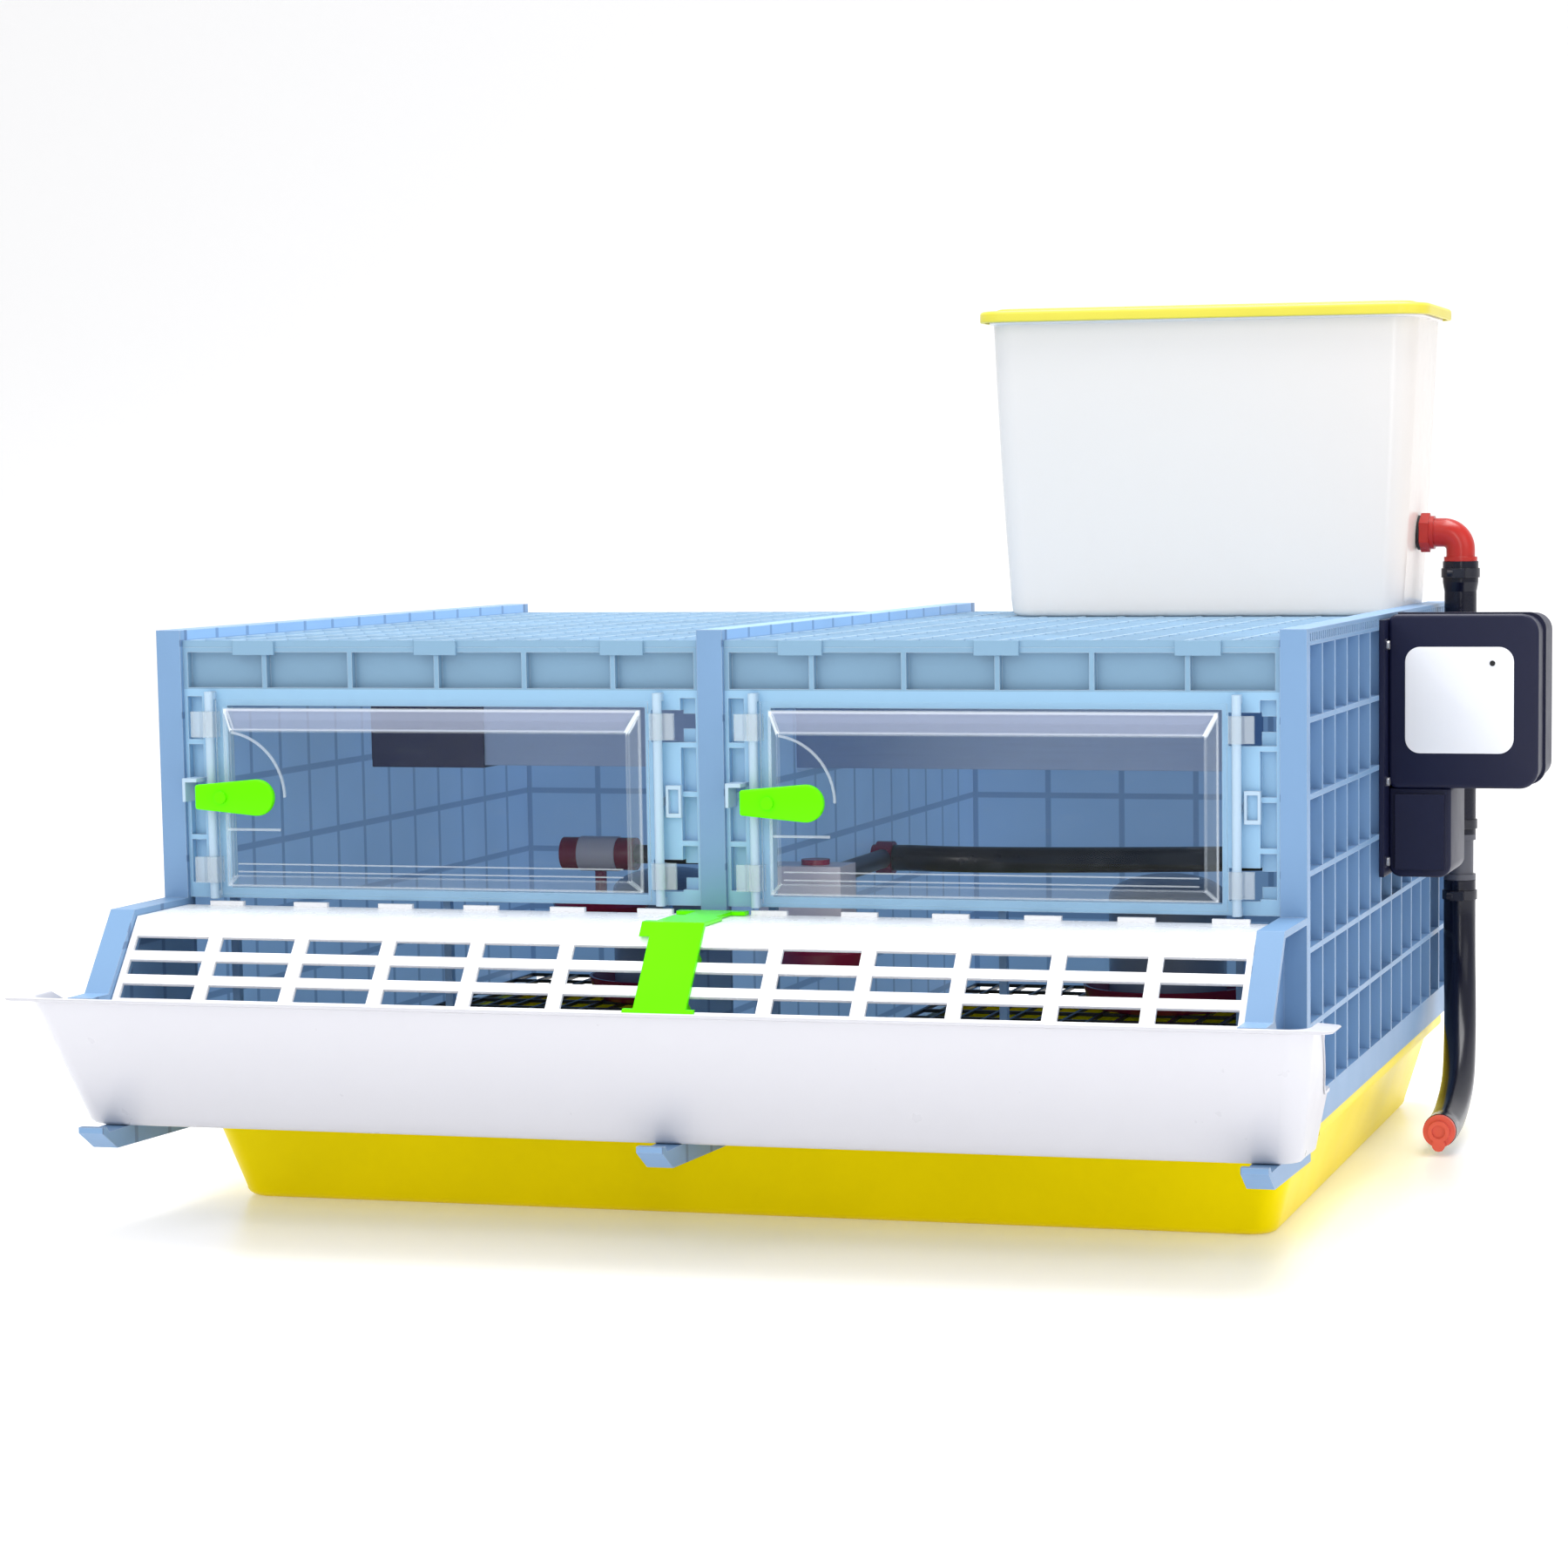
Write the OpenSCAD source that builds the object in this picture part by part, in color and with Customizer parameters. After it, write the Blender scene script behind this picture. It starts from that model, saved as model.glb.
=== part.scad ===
/* [Cage] */
// Width over the outer faces of the two side panels
cage_w = 900; // [820:10:1000]
// Depth of the panels from front to back
cage_d = 720; // [660:10:800]
// Height of a panel from its bottom rail to its top rail
panel_h = 365; // [350:5:390]
// Thickness of a panel over its ribs
panel_t = 20; // [18:1:24]
// Thickness of the skin that closes the cells of a panel
skin_t = 3; // [2:0.5:4]
// Thickness of one rib
rib_t = 4; // [3:0.5:6]
// Cells of a side panel from front to back
cells_deep = 13; // [10:1:15]
// Cells of a panel from bottom to top
cells_high = 6; // [5:1:7]
// Cells of a rear panel from side to side
cells_wide = 6; // [4:1:8]
// Height of the toothed rail along the top of a panel
top_rail = 12; // [10:1:16]
// Height of the rail along the bottom of a panel
bottom_rail = 24; // [18:1:30]
// Depth of the solid strip at the front and back edges of a side panel
edge_strip = 12; // [10:1:16]

/* [Tray] */
// Height of the manure tray to the top of its rim
tray_h = 85; // [75:1:100]
// Wall of the manure tray
tray_wall = 3; // [2:0.5:4]
// How far the tray's floor is drawn in from its rim
tray_draft = 33; // [20:1:40]
// Width of the flange round the tray's rim
tray_flange = 22; // [21:1:28]

/* [Floor and top] */
// Height of the mesh floor above the bottom of the panels
floor_rise = 10; // [6:1:20]
// Thickness of the mesh floor
mesh_t = 3; // [2:0.5:4]
// Openings of the mesh floor across one bay
mesh_across = 18; // [12:1:20]
// Openings of the mesh floor from front to back
mesh_along = 15; // [12:1:18]
// Depth of the top deck below the top of the panels
deck_drop = 8; // [6:1:12]
// Thickness of the deck sheet
deck_t = 3; // [2:0.5:4]

/* [Front panels and doors] */
// Height of the ribbed band above a door
band_h = 34; // [28:1:40]
// Width of the stile on the latch side of a door
latch_stile = 36; // [34:1:42]
// Width of the stile on the hinge side of a door
hinge_stile = 43; // [40:1:50]
// Diameter of the round bars that carry a door
bar_d = 7; // [6:0.5:8]
// Thickness of the clear door
door_t = 3; // [2:0.5:4]
// Height of the raised middle of the door
dish_depth = 6; // [4:1:8]
// Width of the bevel round the raised middle
dish_bevel = 8; // [6:1:14]
// Length of the latch lever
lever_len = 65; // [56:1:72]
// Height of the latch lever's rounded end
lever_head = 28; // [20:1:30]
// Height of the latch lever's square tip
lever_tip = 19; // [12:1:20]

/* [Feeder] */
// Height of the cheek's level top above the bottom of the panels
cheek_rise = 158; // [150:1:170]
// Reach of the cheek's level top in front of the panels
cheek_shelf = 88; // [70:1:95]
// Slope of the cheek's front edge below the level
cheek_angle = 52; // [45:1:60]
// Thickness of the feeder grille
grille_t = 3; // [2:0.5:4]
// Slots of the grille in front of one bay
slots_per_bay = 6; // [4:1:8]
// Rows of slots
slot_rows = 4; // [2:1:4]
// Height of a slot along the slope
slot_h = 12.7; // [10:0.1:15]
// Bar left between two slots in a row
slot_bar = 11; // [8:1:14]
// Height of the trough from its floor to its front rim
trough_h = 103; // [95:1:106]
// Posts between the feed gaps of one bay
feed_posts = 3; // [1:1:4]
// Reach of the trough's front rim in front of the panels
trough_reach = 172; // [168:1:185]
// Wall of the trough
trough_wall = 3; // [2:0.5:4]

/* [Water tank] */
// Width of the tank at its top
tank_w = 375; // [300:5:390]
// Depth of the tank at its top
tank_d = 152; // [130:2:160]
// Height of the tank
tank_h = 262; // [200:2:280]
// Wall of the tank
tank_wall = 3; // [2:0.5:4]
// Overhang of the lid round the tank
lid_over = 10.5; // [9:0.5:24]
// Height of the lid's skirt and top together
lid_h = 12; // [11:1:20]
// Outside diameter of the outer hoses
hose_d = 28; // [24:1:30]
// Outside diameter of the hose inside the cage
inner_hose_d = 22; // [18:1:24]

/* [Control box] */
// How far the control head stands out from its mounting plate
head_w = 120; // [100:2:140]
// Height of the control head
head_h = 139; // [120:1:145]
// Depth of the control head from front to back
head_d = 110; // [80:2:120]
// Width of the terminal housing under the head
terminal_w = 50; // [40:1:60]
// Height of the terminal housing
terminal_h = 72; // [60:1:80]

/* [Heater] */
// Length of the heater over both bays
heater_len = 710; // [600:10:730]
// Depth of the heater from front to back
heater_d = 150; // [120:5:170]
// Height of the heater
heater_h = 48; // [36:1:50]
// Length of the dark box at the heater's end
heater_box = 100; // [80:5:120]

/* [Drinkers] */
// Diameter of a drinker cup
cup_d = 84; // [70:1:90]
// Diameter of a fount's tray
fount_d = 150; // [130:2:160]
// Diameter of a fount's jar
jar_d = 104; // [90:2:108]
// Height of a fount's jar
jar_h = 112; // [90:1:116]

/* [Hidden] */
$fn = 48;

// Overrun of a cutting solid past the face it cuts
cut = 1;
// Gap between two seated pieces that can move apart
seat_gap = 0.3;
// Running gap round a pin
pin_gap = 0.08;

half_w = cage_w / 2;
half_d = cage_d / 2;
front_y = -half_d;
bay_w = (cage_w - 3 * panel_t) / 2;
bay_pitch = bay_w + panel_t;
panel_z0 = tray_h + seat_gap;
panel_z1 = panel_z0 + panel_h;
cell_d = (cage_d - 2 * edge_strip + rib_t) / cells_deep;
cell_h = (panel_h - top_rail - bottom_rail + rib_t) / cells_high;
cell_w = (bay_w - rib_t) / cells_wide;
// Width of the ledges inside the panels that carry the floor and the decks
ledge_w = 5;
ledge_t = 3;
floor_z = panel_z0 + floor_rise;
deck_top = panel_z1 - deck_drop;
deck_rib = 2;
deck_under = deck_top - deck_rib - deck_t;
// The first of the small teeth in the top rail, and their pitch
tooth_pitch = 9;
tooth_w = 4;
tooth_h = 6;

function bay_x(side) = -half_w + panel_t + side * bay_pitch;

module block(low, high) {
    translate(low) cube(high - low);
}

// Solid cylinder along X, Y or Z from a point
module rod_x(p, r, len) {
    translate(p) rotate([0, 90, 0]) cylinder(r = r, h = len);
}

module rod_y(p, r, len) {
    translate(p) rotate([-90, 0, 0]) cylinder(r = r, h = len);
}

// An outline in Y and Z, carried along X
module along_x(x0, len) {
    translate([x0, 0, 0]) rotate([90, 0, 90]) linear_extrude(len) children();
}

// An outline in X and Z, carried back along Y
module along_y(y0, len) {
    translate([0, y0 + len, 0]) rotate([90, 0, 0]) linear_extrude(len) children();
}

// Rectangle with round corners, centred on the origin
module round_rect(w, d, r) {
    square([w - 2 * r, d], center = true);
    square([w, d - 2 * r], center = true);
    for (sx = [-1, 1], sy = [-1, 1])
        translate([sx * (w / 2 - r), sy * (d / 2 - r)]) circle(r);
}

// Tub whose walls lean out from a small floor to a wide top
module tub(low_size, low_r, top_size, top_r, h) {
    hull() {
        linear_extrude(0.01) round_rect(low_size[0], low_size[1], low_r, $fn = 32);
        translate([0, 0, h - 0.01])
            linear_extrude(0.01) round_rect(top_size[0], top_size[1], top_r, $fn = 32);
    }
}

// Lines of the cheek's edge, drawn in from the edge by d: level shelf, bend and slope
function slope_dir(len) = [-len * cos(cheek_angle), -len * sin(cheek_angle)];
function shelf_point(d) = [front_y, cheek_z - d];
function bend_point(d) = [front_y - cheek_shelf + d * tan(cheek_angle / 2), cheek_z - d];
function slope_point(d, len) = bend_point(d) + slope_dir(len);

cheek_z = panel_z0 + cheek_rise;
cheek_slope = 74;
cheek_toe_t = 5;
toe_reach = trough_reach - 12;
cheek_floor = cheek_z - 86;
flange_t = 5;
// Distances of the grille's two faces and of what carries it below the cheek's edge
grille_in = 5;
grille_seat = grille_in + grille_t + seat_gap;
grille_slope = 86;
slot_first = 17.5;
slot_pitch = 20.8;
nose_top = tray_h - 3;
nose_drop = 18;
nose_reach = 150;
trough_z = nose_top + seat_gap;

module cheek_outline(inner) {
    shelf = shelf_point(inner);
    polygon(concat(
        [shelf, bend_point(inner)],
        inner > 0 ? [slope_point(inner, 90)] : [
            slope_point(0, cheek_slope),
            [front_y - toe_reach, slope_point(0, cheek_slope)[1]],
            [front_y - toe_reach, slope_point(0, cheek_slope)[1] - cheek_toe_t],
            [front_y - toe_reach + 28, slope_point(0, cheek_slope)[1] - cheek_toe_t]
        ],
        [[front_y - 112, cheek_floor], [front_y, cheek_floor - 2]]
    ));
}

// Pocket in the side of the cheek that leaves its flange standing
module cheek_pocket(inner) {
    d = inner + flange_t;
    polygon([
        shelf_point(d) + [-2, 0], bend_point(d), slope_point(d, 66),
        [front_y - 108, cheek_floor + flange_t], [front_y - 2, cheek_floor + flange_t - 2]
    ]);
}

// Rail that runs forward under the trough and hooks up in front of it
module nose_outline() {
    polygon([
        [front_y + edge_strip, panel_z0 + cut], [front_y, panel_z0 + cut], [front_y, nose_top],
        [front_y - nose_reach + 10, nose_top], [front_y - nose_reach + 6, nose_top + 4.5],
        [front_y - nose_reach, nose_top + 4.5], [front_y - nose_reach, nose_top],
        [front_y - nose_reach + 22, nose_top - nose_drop + 4],
        [front_y + edge_strip, nose_top - nose_drop]
    ]);
}

module panel_outline() {
    translate([front_y, panel_z0]) square([cage_d, panel_h]);
}

// Cells and rail teeth of a side panel, seen from the side
module panel_cells() {
    for (i = [0 : cells_deep - 1], j = [0 : cells_high - 1])
        translate([front_y + edge_strip + i * cell_d, panel_z0 + bottom_rail + j * cell_h])
            square([cell_d - rib_t, cell_h - rib_t]);
    teeth = floor((cage_d - 2 * edge_strip) / tooth_pitch);
    for (i = [0 : teeth - 1])
        translate([front_y + edge_strip + i * tooth_pitch, panel_z1 - top_rail + 3])
            square([tooth_w, tooth_h]);
}

// One side panel: ribs at low x, smooth skin at x = panel_t
module ribbed_panel(inner_edge) {
    along_x(0, panel_t - skin_t) difference() {
        panel_outline();
        panel_cells();
    }
    along_x(panel_t - skin_t, skin_t) panel_outline();
    difference() {
        along_x(0, panel_t) cheek_outline(inner_edge);
        along_x(-cut, panel_t - skin_t + cut) cheek_pocket(inner_edge);
    }
    along_x(0, panel_t) nose_outline();
}

// Ledges for the floor and the deck on the face at x, standing out in the direction out
module ledges(x, out) {
    for (z = [floor_z, deck_under])
        block(
            [min(x, x + out * ledge_w), front_y + edge_strip + 8, z - ledge_t],
            [max(x, x + out * ledge_w), half_d - edge_strip, z]
        );
}

// Ledge along the inside of an outer cheek that the end of the grille rests on
module grille_ledge(x, out) {
    d = grille_seat;
    along_x(min(x, x + out * ledge_w), ledge_w) polygon([
        shelf_point(d), bend_point(d), slope_point(d, 70),
        slope_point(d + 4, 70), bend_point(d + 4), shelf_point(d + 4)
    ]);
}

module left_side_panel() {
    color([0.64, 0.78, 0.93]) {
        translate([-half_w, 0, 0]) ribbed_panel(0);
        ledges(-half_w + panel_t, 1);
        grille_ledge(-half_w + panel_t, 1);
    }
}

module right_side_panel() {
    color([0.64, 0.78, 0.93]) difference() {
        union() {
            translate([half_w, 0, 0]) mirror([1, 0, 0]) ribbed_panel(0);
            ledges(half_w - panel_t, -1);
            grille_ledge(half_w - panel_t, -1);
        }
        rod_x([half_w - panel_t - cut, hose_y, tee_z], grommet_r, panel_t + 2 * cut);
    }
}

module middle_partition() {
    color([0.64, 0.78, 0.93]) difference() {
        union() {
            translate([-panel_t / 2, 0, 0]) ribbed_panel(grille_seat);
            ledges(panel_t / 2, 1);
            ledges(-panel_t / 2, -1);
        }
        block(
            [-panel_t, heater_y - 3, heater_z - 3],
            [panel_t, heater_y + heater_d + 3, heater_z + heater_h + 3]
        );
        rod_x([-panel_t, line_y, line_z], pipe_r + 1, 2 * panel_t);
    }
}

module manure_tray() {
    top = [cage_w - 4, cage_d - edge_strip - 6];
    low = top - [2 * tray_draft, 2 * tray_draft];
    inner = [2 * tray_wall, 2 * tray_wall];
    color([0.93, 0.83, 0.08]) difference() {
        tray_tub(top, low, inner);
        rim_notches();
    }
}

module tray_tub(top, low, inner) {
    translate([0, edge_strip / 2 + 1, 0]) {
        difference() {
            tub(low, 30, top - [16, 16], 34, tray_h);
            translate([0, 0, tray_wall])
                tub(low - inner, 28, top - [16, 16] - inner, 32, tray_h);
        }
        translate([0, 0, tray_h - tray_wall]) linear_extrude(tray_wall) difference() {
            round_rect(top[0], top[1], 38);
            round_rect(top[0] - 2 * tray_flange, top[1] - 2 * tray_flange, 24);
        }
        translate([0, 0, tray_h - 10]) linear_extrude(10) difference() {
            round_rect(top[0], top[1], 38);
            round_rect(top[0] - 2 * tray_wall, top[1] - 2 * tray_wall, 36);
        }
    }
}

// Notches in the front corners of the tray's rim, behind the roots of the trough's rails
module rim_notches() {
    deep = 8 + seat_gap;
    for (x = [-half_w, half_w - deep - 1.5])
        block([x, -half_d, tray_h - 12], [x + deep + 1.5, -half_d + 60, tray_h + cut]);
}

// Rear panel of one bay: skin inside, ribs outside
module rear_panel(side) {
    x0 = bay_x(side);
    z0 = floor_z + mesh_t;
    color([0.62, 0.77, 0.92]) {
        block([x0, half_d - edge_strip, z0], [x0 + bay_w, half_d - edge_strip + skin_t, deck_under]);
        along_y(half_d - edge_strip + skin_t, edge_strip - skin_t) difference() {
            translate([x0, z0]) square([bay_w, deck_under - z0]);
            for (i = [0 : cells_wide - 1], j = [0 : cells_high - 1])
                translate([x0 + rib_t + i * cell_w, panel_z0 + bottom_rail + j * cell_h])
                    square([cell_w - rib_t, min(cell_h - rib_t,
                        deck_under - 5 - (panel_z0 + bottom_rail + j * cell_h))]);
        }
    }
}

// Top deck of one bay: a sheet with a fine raised grid, hooked over the front panel
module top_deck(side) {
    x0 = bay_x(side);
    across = 12;
    along = 20;
    px = (bay_w - deck_rib) / across;
    py = (cage_d - front_face - deck_rib) / along;
    y0 = front_y + front_face;
    color([0.66, 0.80, 0.93]) {
        block([x0, y0, deck_under], [x0 + bay_w, half_d, deck_under + deck_t]);
        for (i = [0 : across])
            block([x0 + i * px, y0, deck_under + deck_t], [x0 + i * px + deck_rib, half_d, deck_top]);
        for (j = [0 : along])
            block([x0, y0 + j * py, deck_under + deck_t], [x0 + bay_w, y0 + j * py + deck_rib, deck_top]);
        for (i = [-1, 0, 1])
            block(
                [x0 + bay_w / 2 + i * hook_pitch - hook_w / 2, y0 - hook_t, deck_under - hook_drop],
                [x0 + bay_w / 2 + i * hook_pitch + hook_w / 2, y0, deck_top]
            );
    }
}

hook_pitch = 150;
hook_w = 34;
hook_t = 2.5;
hook_drop = 6;

module floor_mesh(side) {
    x0 = bay_x(side) + seat_gap;
    w = bay_w - 2 * seat_gap;
    y0 = front_y + edge_strip + 8;
    d = half_d - edge_strip - y0;
    bar = 3;
    px = (w - bar) / mesh_across;
    py = (d - bar) / mesh_along;
    color([0.13, 0.14, 0.17]) translate([x0, y0, floor_z]) linear_extrude(mesh_t) difference() {
        square([w, d]);
        for (i = [0 : mesh_across - 1], j = [0 : mesh_along - 1])
            translate([bar + i * px, bar + j * py]) square([px - bar, py - bar]);
    }
}

// The front panel's face lies behind the strips of the side panels, and the bars stand before it
front_face = 4;
front_t = 10;
front_z0 = cheek_z + seat_gap;
front_z1 = deck_under;
band_z = front_z1 - band_h;
opening_z0 = front_z0 + 8;
opening_z1 = band_z - 11;
bar_y = front_y - 2.5;
bar_off_latch = latch_stile - 12;
bar_off_hinge = hinge_stile - 12;
function latch_bar_x(side) = bay_x(side) + bar_off_latch;
function hinge_bar_x(side) = bay_x(side) + bay_w - bar_off_hinge;
door_z0 = front_z0 + 3.5;
door_z1 = opening_z1 + 5;
lug_h = 20;
lug_in = 9;
lug_wall = 2;
lug_bore = bar_d / 2 + seat_gap;
lug_reach = 13;
lug_low = door_z0 + lug_in;
lug_high = door_z1 - lug_in - lug_h;
lever_z = (door_z0 + door_z1) / 2 + 1;
lever_t = 6.5;
lever_pivot = 16;
boss_y = front_y - 4 - door_t - dish_depth;
lever_back = boss_y - 0.5;
lever_pin_r = 3;
// Underside of the keeper over the lever's tip
keeper_z = lever_z + lever_tip / 2 + 1.5;

// Bar on the front panel with its three posts
module door_bar(x) {
    translate([x, bar_y, front_z0]) cylinder(d = bar_d, h = band_z - front_z0);
    for (z = [front_z0, lever_z - 4, band_z - 6])
        block([x - bar_d / 2 + 0.5, bar_y, z], [x + bar_d / 2 - 0.5, front_y + front_face + cut, z + 6]);
}

// Small raised frame on a stile, level with the latch
module stile_frame(x0, w) {
    y0 = front_y - 1;
    difference() {
        block([x0, y0, lever_z - 13], [x0 + w, front_y + front_face + cut, lever_z + 11]);
        block([x0 + 2, y0 - cut, lever_z - 10], [x0 + w - 2, front_y + front_face - 1, lever_z + 8]);
    }
}

module front_panel(side) {
    x0 = bay_x(side);
    y0 = front_y + front_face;
    y1 = y0 + front_t;
    xl = latch_bar_x(side);
    xh = hinge_bar_x(side);
    rib_pitch = 71;
    color([0.56, 0.72, 0.81]) {
        difference() {
            block([x0, y0, front_z0], [x0 + bay_w, y1, front_z1]);
            block([x0 + latch_stile, y0 - cut, opening_z0], [x0 + bay_w - hinge_stile, y1 + cut, opening_z1]);
            for (i = [-3 : 2])
                block(
                    [max(x0 + 4, x0 + bay_w / 2 + i * rib_pitch + 2), y0 - cut, band_z + 3],
                    [min(x0 + bay_w - 4, x0 + bay_w / 2 + (i + 1) * rib_pitch - 2), y1 - skin_t, front_z1 - 4]
                );
            for (j = [0 : 3])
                for (x = [[x0 + 3, x0 + 15], [x0 + bay_w - 15, x0 + bay_w - 3]])
                    block(
                        [x[0], y0 - cut, stile_cell(j)],
                        [x[1], y1 - skin_t, stile_cell(j + 1) - rib_t]
                    );
            for (z = [lug_low, lug_high])
                block([xh - 7, y0 - cut, z - 2], [xh + 16, y1 + cut, z + lug_h + 2]);
            for (z = [lug_low, lug_high])
                block([xh + 15, y0 - cut, z + 8], [xh + 27, y1 + cut, z + 19]);
        }
        door_bar(xl);
        door_bar(xh);
        stile_frame(x0 + bay_w - 26, 12);
        block([x0 + 6, lever_back - 2.5, keeper_z], [x0 + 18, y0 + cut, keeper_z + 3]);
        block([x0 + 6, lever_back - 2.5, lever_z - 4], [x0 + 8.5, y0 + cut, keeper_z + 3]);
    }
}

function stile_cell(j) = opening_z0 + 4 + j * (band_z - opening_z0 - 4) / 4;

// Frustum with flat sides that lies along Y: wide at y0, narrower at y0 - depth
module frustum_y(x0, x1, z0, z1, y0, depth, bevel) {
    intersection() {
        translate([0, 0, z0]) linear_extrude(z1 - z0)
            polygon([[x0, y0], [x0 + bevel, y0 - depth], [x1 - bevel, y0 - depth], [x1, y0]]);
        along_x(x0, x1 - x0)
            polygon([[y0, z0], [y0, z1], [y0 - depth, z1 - bevel], [y0 - depth, z0 + bevel]]);
    }
}

// Clear door with a raised pane, two open lugs on the latch side and two ring lugs on the hinge side
module door(side) {
    xl = latch_bar_x(side);
    xh = hinge_bar_x(side);
    x0 = xl + bar_d / 2 + 3;
    x1 = xh - bar_d / 2 - 3;
    yb = front_y - 3;
    px = xl + lever_pivot;
    color([0.78, 0.86, 0.93, 0.5]) difference() {
        door_solid(side, x0, x1, yb);
        rod_y([px, boss_y - cut, lever_z], lever_pin_r, 5 + cut);
    }
}

module door_solid(side, x0, x1, yb) {
    xl = latch_bar_x(side);
    xh = hinge_bar_x(side);
    lip = 7;
    px = xl + lever_pivot;
    union() {
        difference() {
            union() {
                block([x0, yb - door_t, door_z0], [x1, yb, door_z1]);
                frustum_y(
                    x0 + lip, x1 - lip, door_z0 + lip, door_z1 - lip,
                    yb - door_t + 0.5, dish_depth + 0.5, dish_bevel
                );
            }
            frustum_y(
                x0 + lip + door_t, x1 - lip - door_t, door_z0 + lip + door_t, door_z1 - lip - door_t,
                yb + 0.5, dish_depth + 0.5, dish_bevel
            );
        }
        rod_y([px, boss_y, lever_z], 6, dish_depth + 3);
        door_guides(side, yb - door_t - dish_depth);
        for (z = [0, 6])
            block(
                [x0 + lip + dish_bevel + 4, yb - door_t - dish_depth - 0.8, door_z0 + lip + dish_bevel + 3 + z],
                [x1 - lip - dish_bevel - 4, yb - door_t - dish_depth + 0.5, door_z0 + lip + dish_bevel + 4.2 + z]
            );
        for (z = [lug_low, lug_high]) {
            difference() {
                block([xl - 7, bar_y - 6, z], [x0 + 1, front_y + 0.5, z + lug_h]);
                block([xl - lug_bore, bar_y - lug_bore, z - cut], [xl + lug_bore, front_y + 1, z + lug_h + cut]);
            }
            block([xl - lug_reach, bar_y - 6, z], [xl - 6.5, bar_y - 3, z + lug_h]);
            hinge_lug(xh, z, x1, yb);
        }
    }
}

// Ring that turns on the hinge bar, with a finger that swings into the stile
module hinge_lug(xh, z, x1, yb) {
    difference() {
        union() {
            translate([xh, bar_y, z]) cylinder(r = lug_bore + lug_wall, h = lug_h);
            block([xh, bar_y - 1.5, z], [xh + lug_reach, bar_y + 1.5, z + lug_h]);
            block([x1 - 1, yb - door_t, z], [xh - lug_bore, yb, z + lug_h]);
        }
        translate([xh, bar_y, z - cut]) cylinder(r = lug_bore, h = lug_h + 2 * cut);
    }
}

// Quarter-round rib and short ledge on the front of the pane that guide the latch lever
module door_guides(side, face_y) {
    px = latch_bar_x(side) + lever_pivot;
    arc_r = 51;
    intersection() {
        difference() {
            rod_y([px, face_y - 1.5, lever_z], arc_r, 2.5);
            rod_y([px, face_y - 2.5, lever_z], arc_r - 2, 4.5);
        }
        block([px + 7, face_y - 1.5, lever_z], [px + arc_r + 1, face_y + 1, lever_z + arc_r + 1]);
    }
    block([px + 2, face_y - 1.5, lever_z - 26], [px + 46, face_y + 1, lever_z - 24]);
}

// Lever from its narrow tip past the pivot to its round end
module latch_lever(side) {
    px = latch_bar_x(side) + lever_pivot;
    tip = -lever_len * 0.4;
    tip_r = lever_tip / 2;
    head_r = lever_head / 2;
    head_x = lever_len * 0.6 - head_r;
    color([0.48, 0.98, 0.05]) difference() {
        along_y(lever_back - lever_t, lever_t) difference() {
            translate([px, lever_z]) {
                translate([head_x, 0]) circle(head_r);
                polygon([
                    [tip, tip_r - 2], [tip, 2 - tip_r], [tip + 2, -tip_r], [head_x - 1.2, -head_r],
                    [head_x - 1.2, head_r], [tip + 2, tip_r]
                ]);
            }
        }
        rod_y([px, lever_back - lever_t - cut, lever_z], lever_pin_r + pin_gap, lever_t + 2 * cut);
    }
}

module lever_pin(side) {
    px = latch_bar_x(side) + lever_pivot;
    color([0.48, 0.98, 0.05]) {
        rod_y([px, lever_back - lever_t - seat_gap, lever_z], lever_pin_r, lever_t + seat_gap + 5);
        rod_y([px, lever_back - lever_t - 2 - seat_gap, lever_z], 5, 2);
    }
}

post_t = 6;

// Sill at the front of a bay's floor, with posts up to the front panel that part the feed gaps
module feed_comb(side) {
    x0 = bay_x(side) + seat_gap;
    len = bay_w - 2 * seat_gap;
    y1 = front_y + edge_strip + 8 - seat_gap - 1;
    pitch = (bay_w - 64) / max(1, feed_posts - 1);
    color([0.62, 0.77, 0.92]) {
        block([x0, y1 - post_t, panel_z0], [x0 + len, y1, floor_z + mesh_t]);
        for (i = [0 : feed_posts - 1])
            translate([bay_x(side) + bay_w / 2 + (i - (feed_posts - 1) / 2) * pitch - post_t / 2, y1 - post_t, floor_z])
                cube([post_t, post_t, front_z0 - seat_gap - floor_z]);
    }
}

module left_feed_posts() {
    feed_comb(0);
}

module right_feed_posts() {
    feed_comb(1);
}

// Slots are cut through the slope in the grille's own lines
module feeder_grille() {
    gx = half_w - panel_t - 0.6;
    b = bend_point(grille_in);
    pitch = bay_w / slots_per_bay;
    d1 = grille_in + grille_t;
    color([0.95, 0.95, 0.97]) difference() {
        union() {
            along_x(-gx, 2 * gx) polygon([
                shelf_point(grille_in) + [-1, 0], bend_point(grille_in), slope_point(grille_in, grille_slope),
                slope_point(d1, grille_slope), bend_point(d1), shelf_point(d1) + [-1, 0]
            ]);
            for (side = [0, 1], i = [0 : slots_per_bay - 1])
                block(
                    [bay_x(side) + (i + 0.5) * pitch - 14, front_y - 5, cheek_z - grille_in - 1],
                    [bay_x(side) + (i + 0.5) * pitch + 14, front_y - 1.2, cheek_z - 1.5]
                );
        }
        for (side = [0, 1], i = [0 : slots_per_bay - 1], j = [0 : slot_rows - 1])
            translate([bay_x(side) + i * pitch + slot_bar / 2, b[0], b[1]])
                rotate([180 + cheek_angle, 0, 0])
                    translate([0, slot_first + j * slot_pitch, -5])
                        cube([pitch - slot_bar, min(slot_h, grille_slope - 2 - slot_first - j * slot_pitch), 15]);
    }
}

clip_x = 3;
clip_w = 40;
clip_t = 3;

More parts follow.
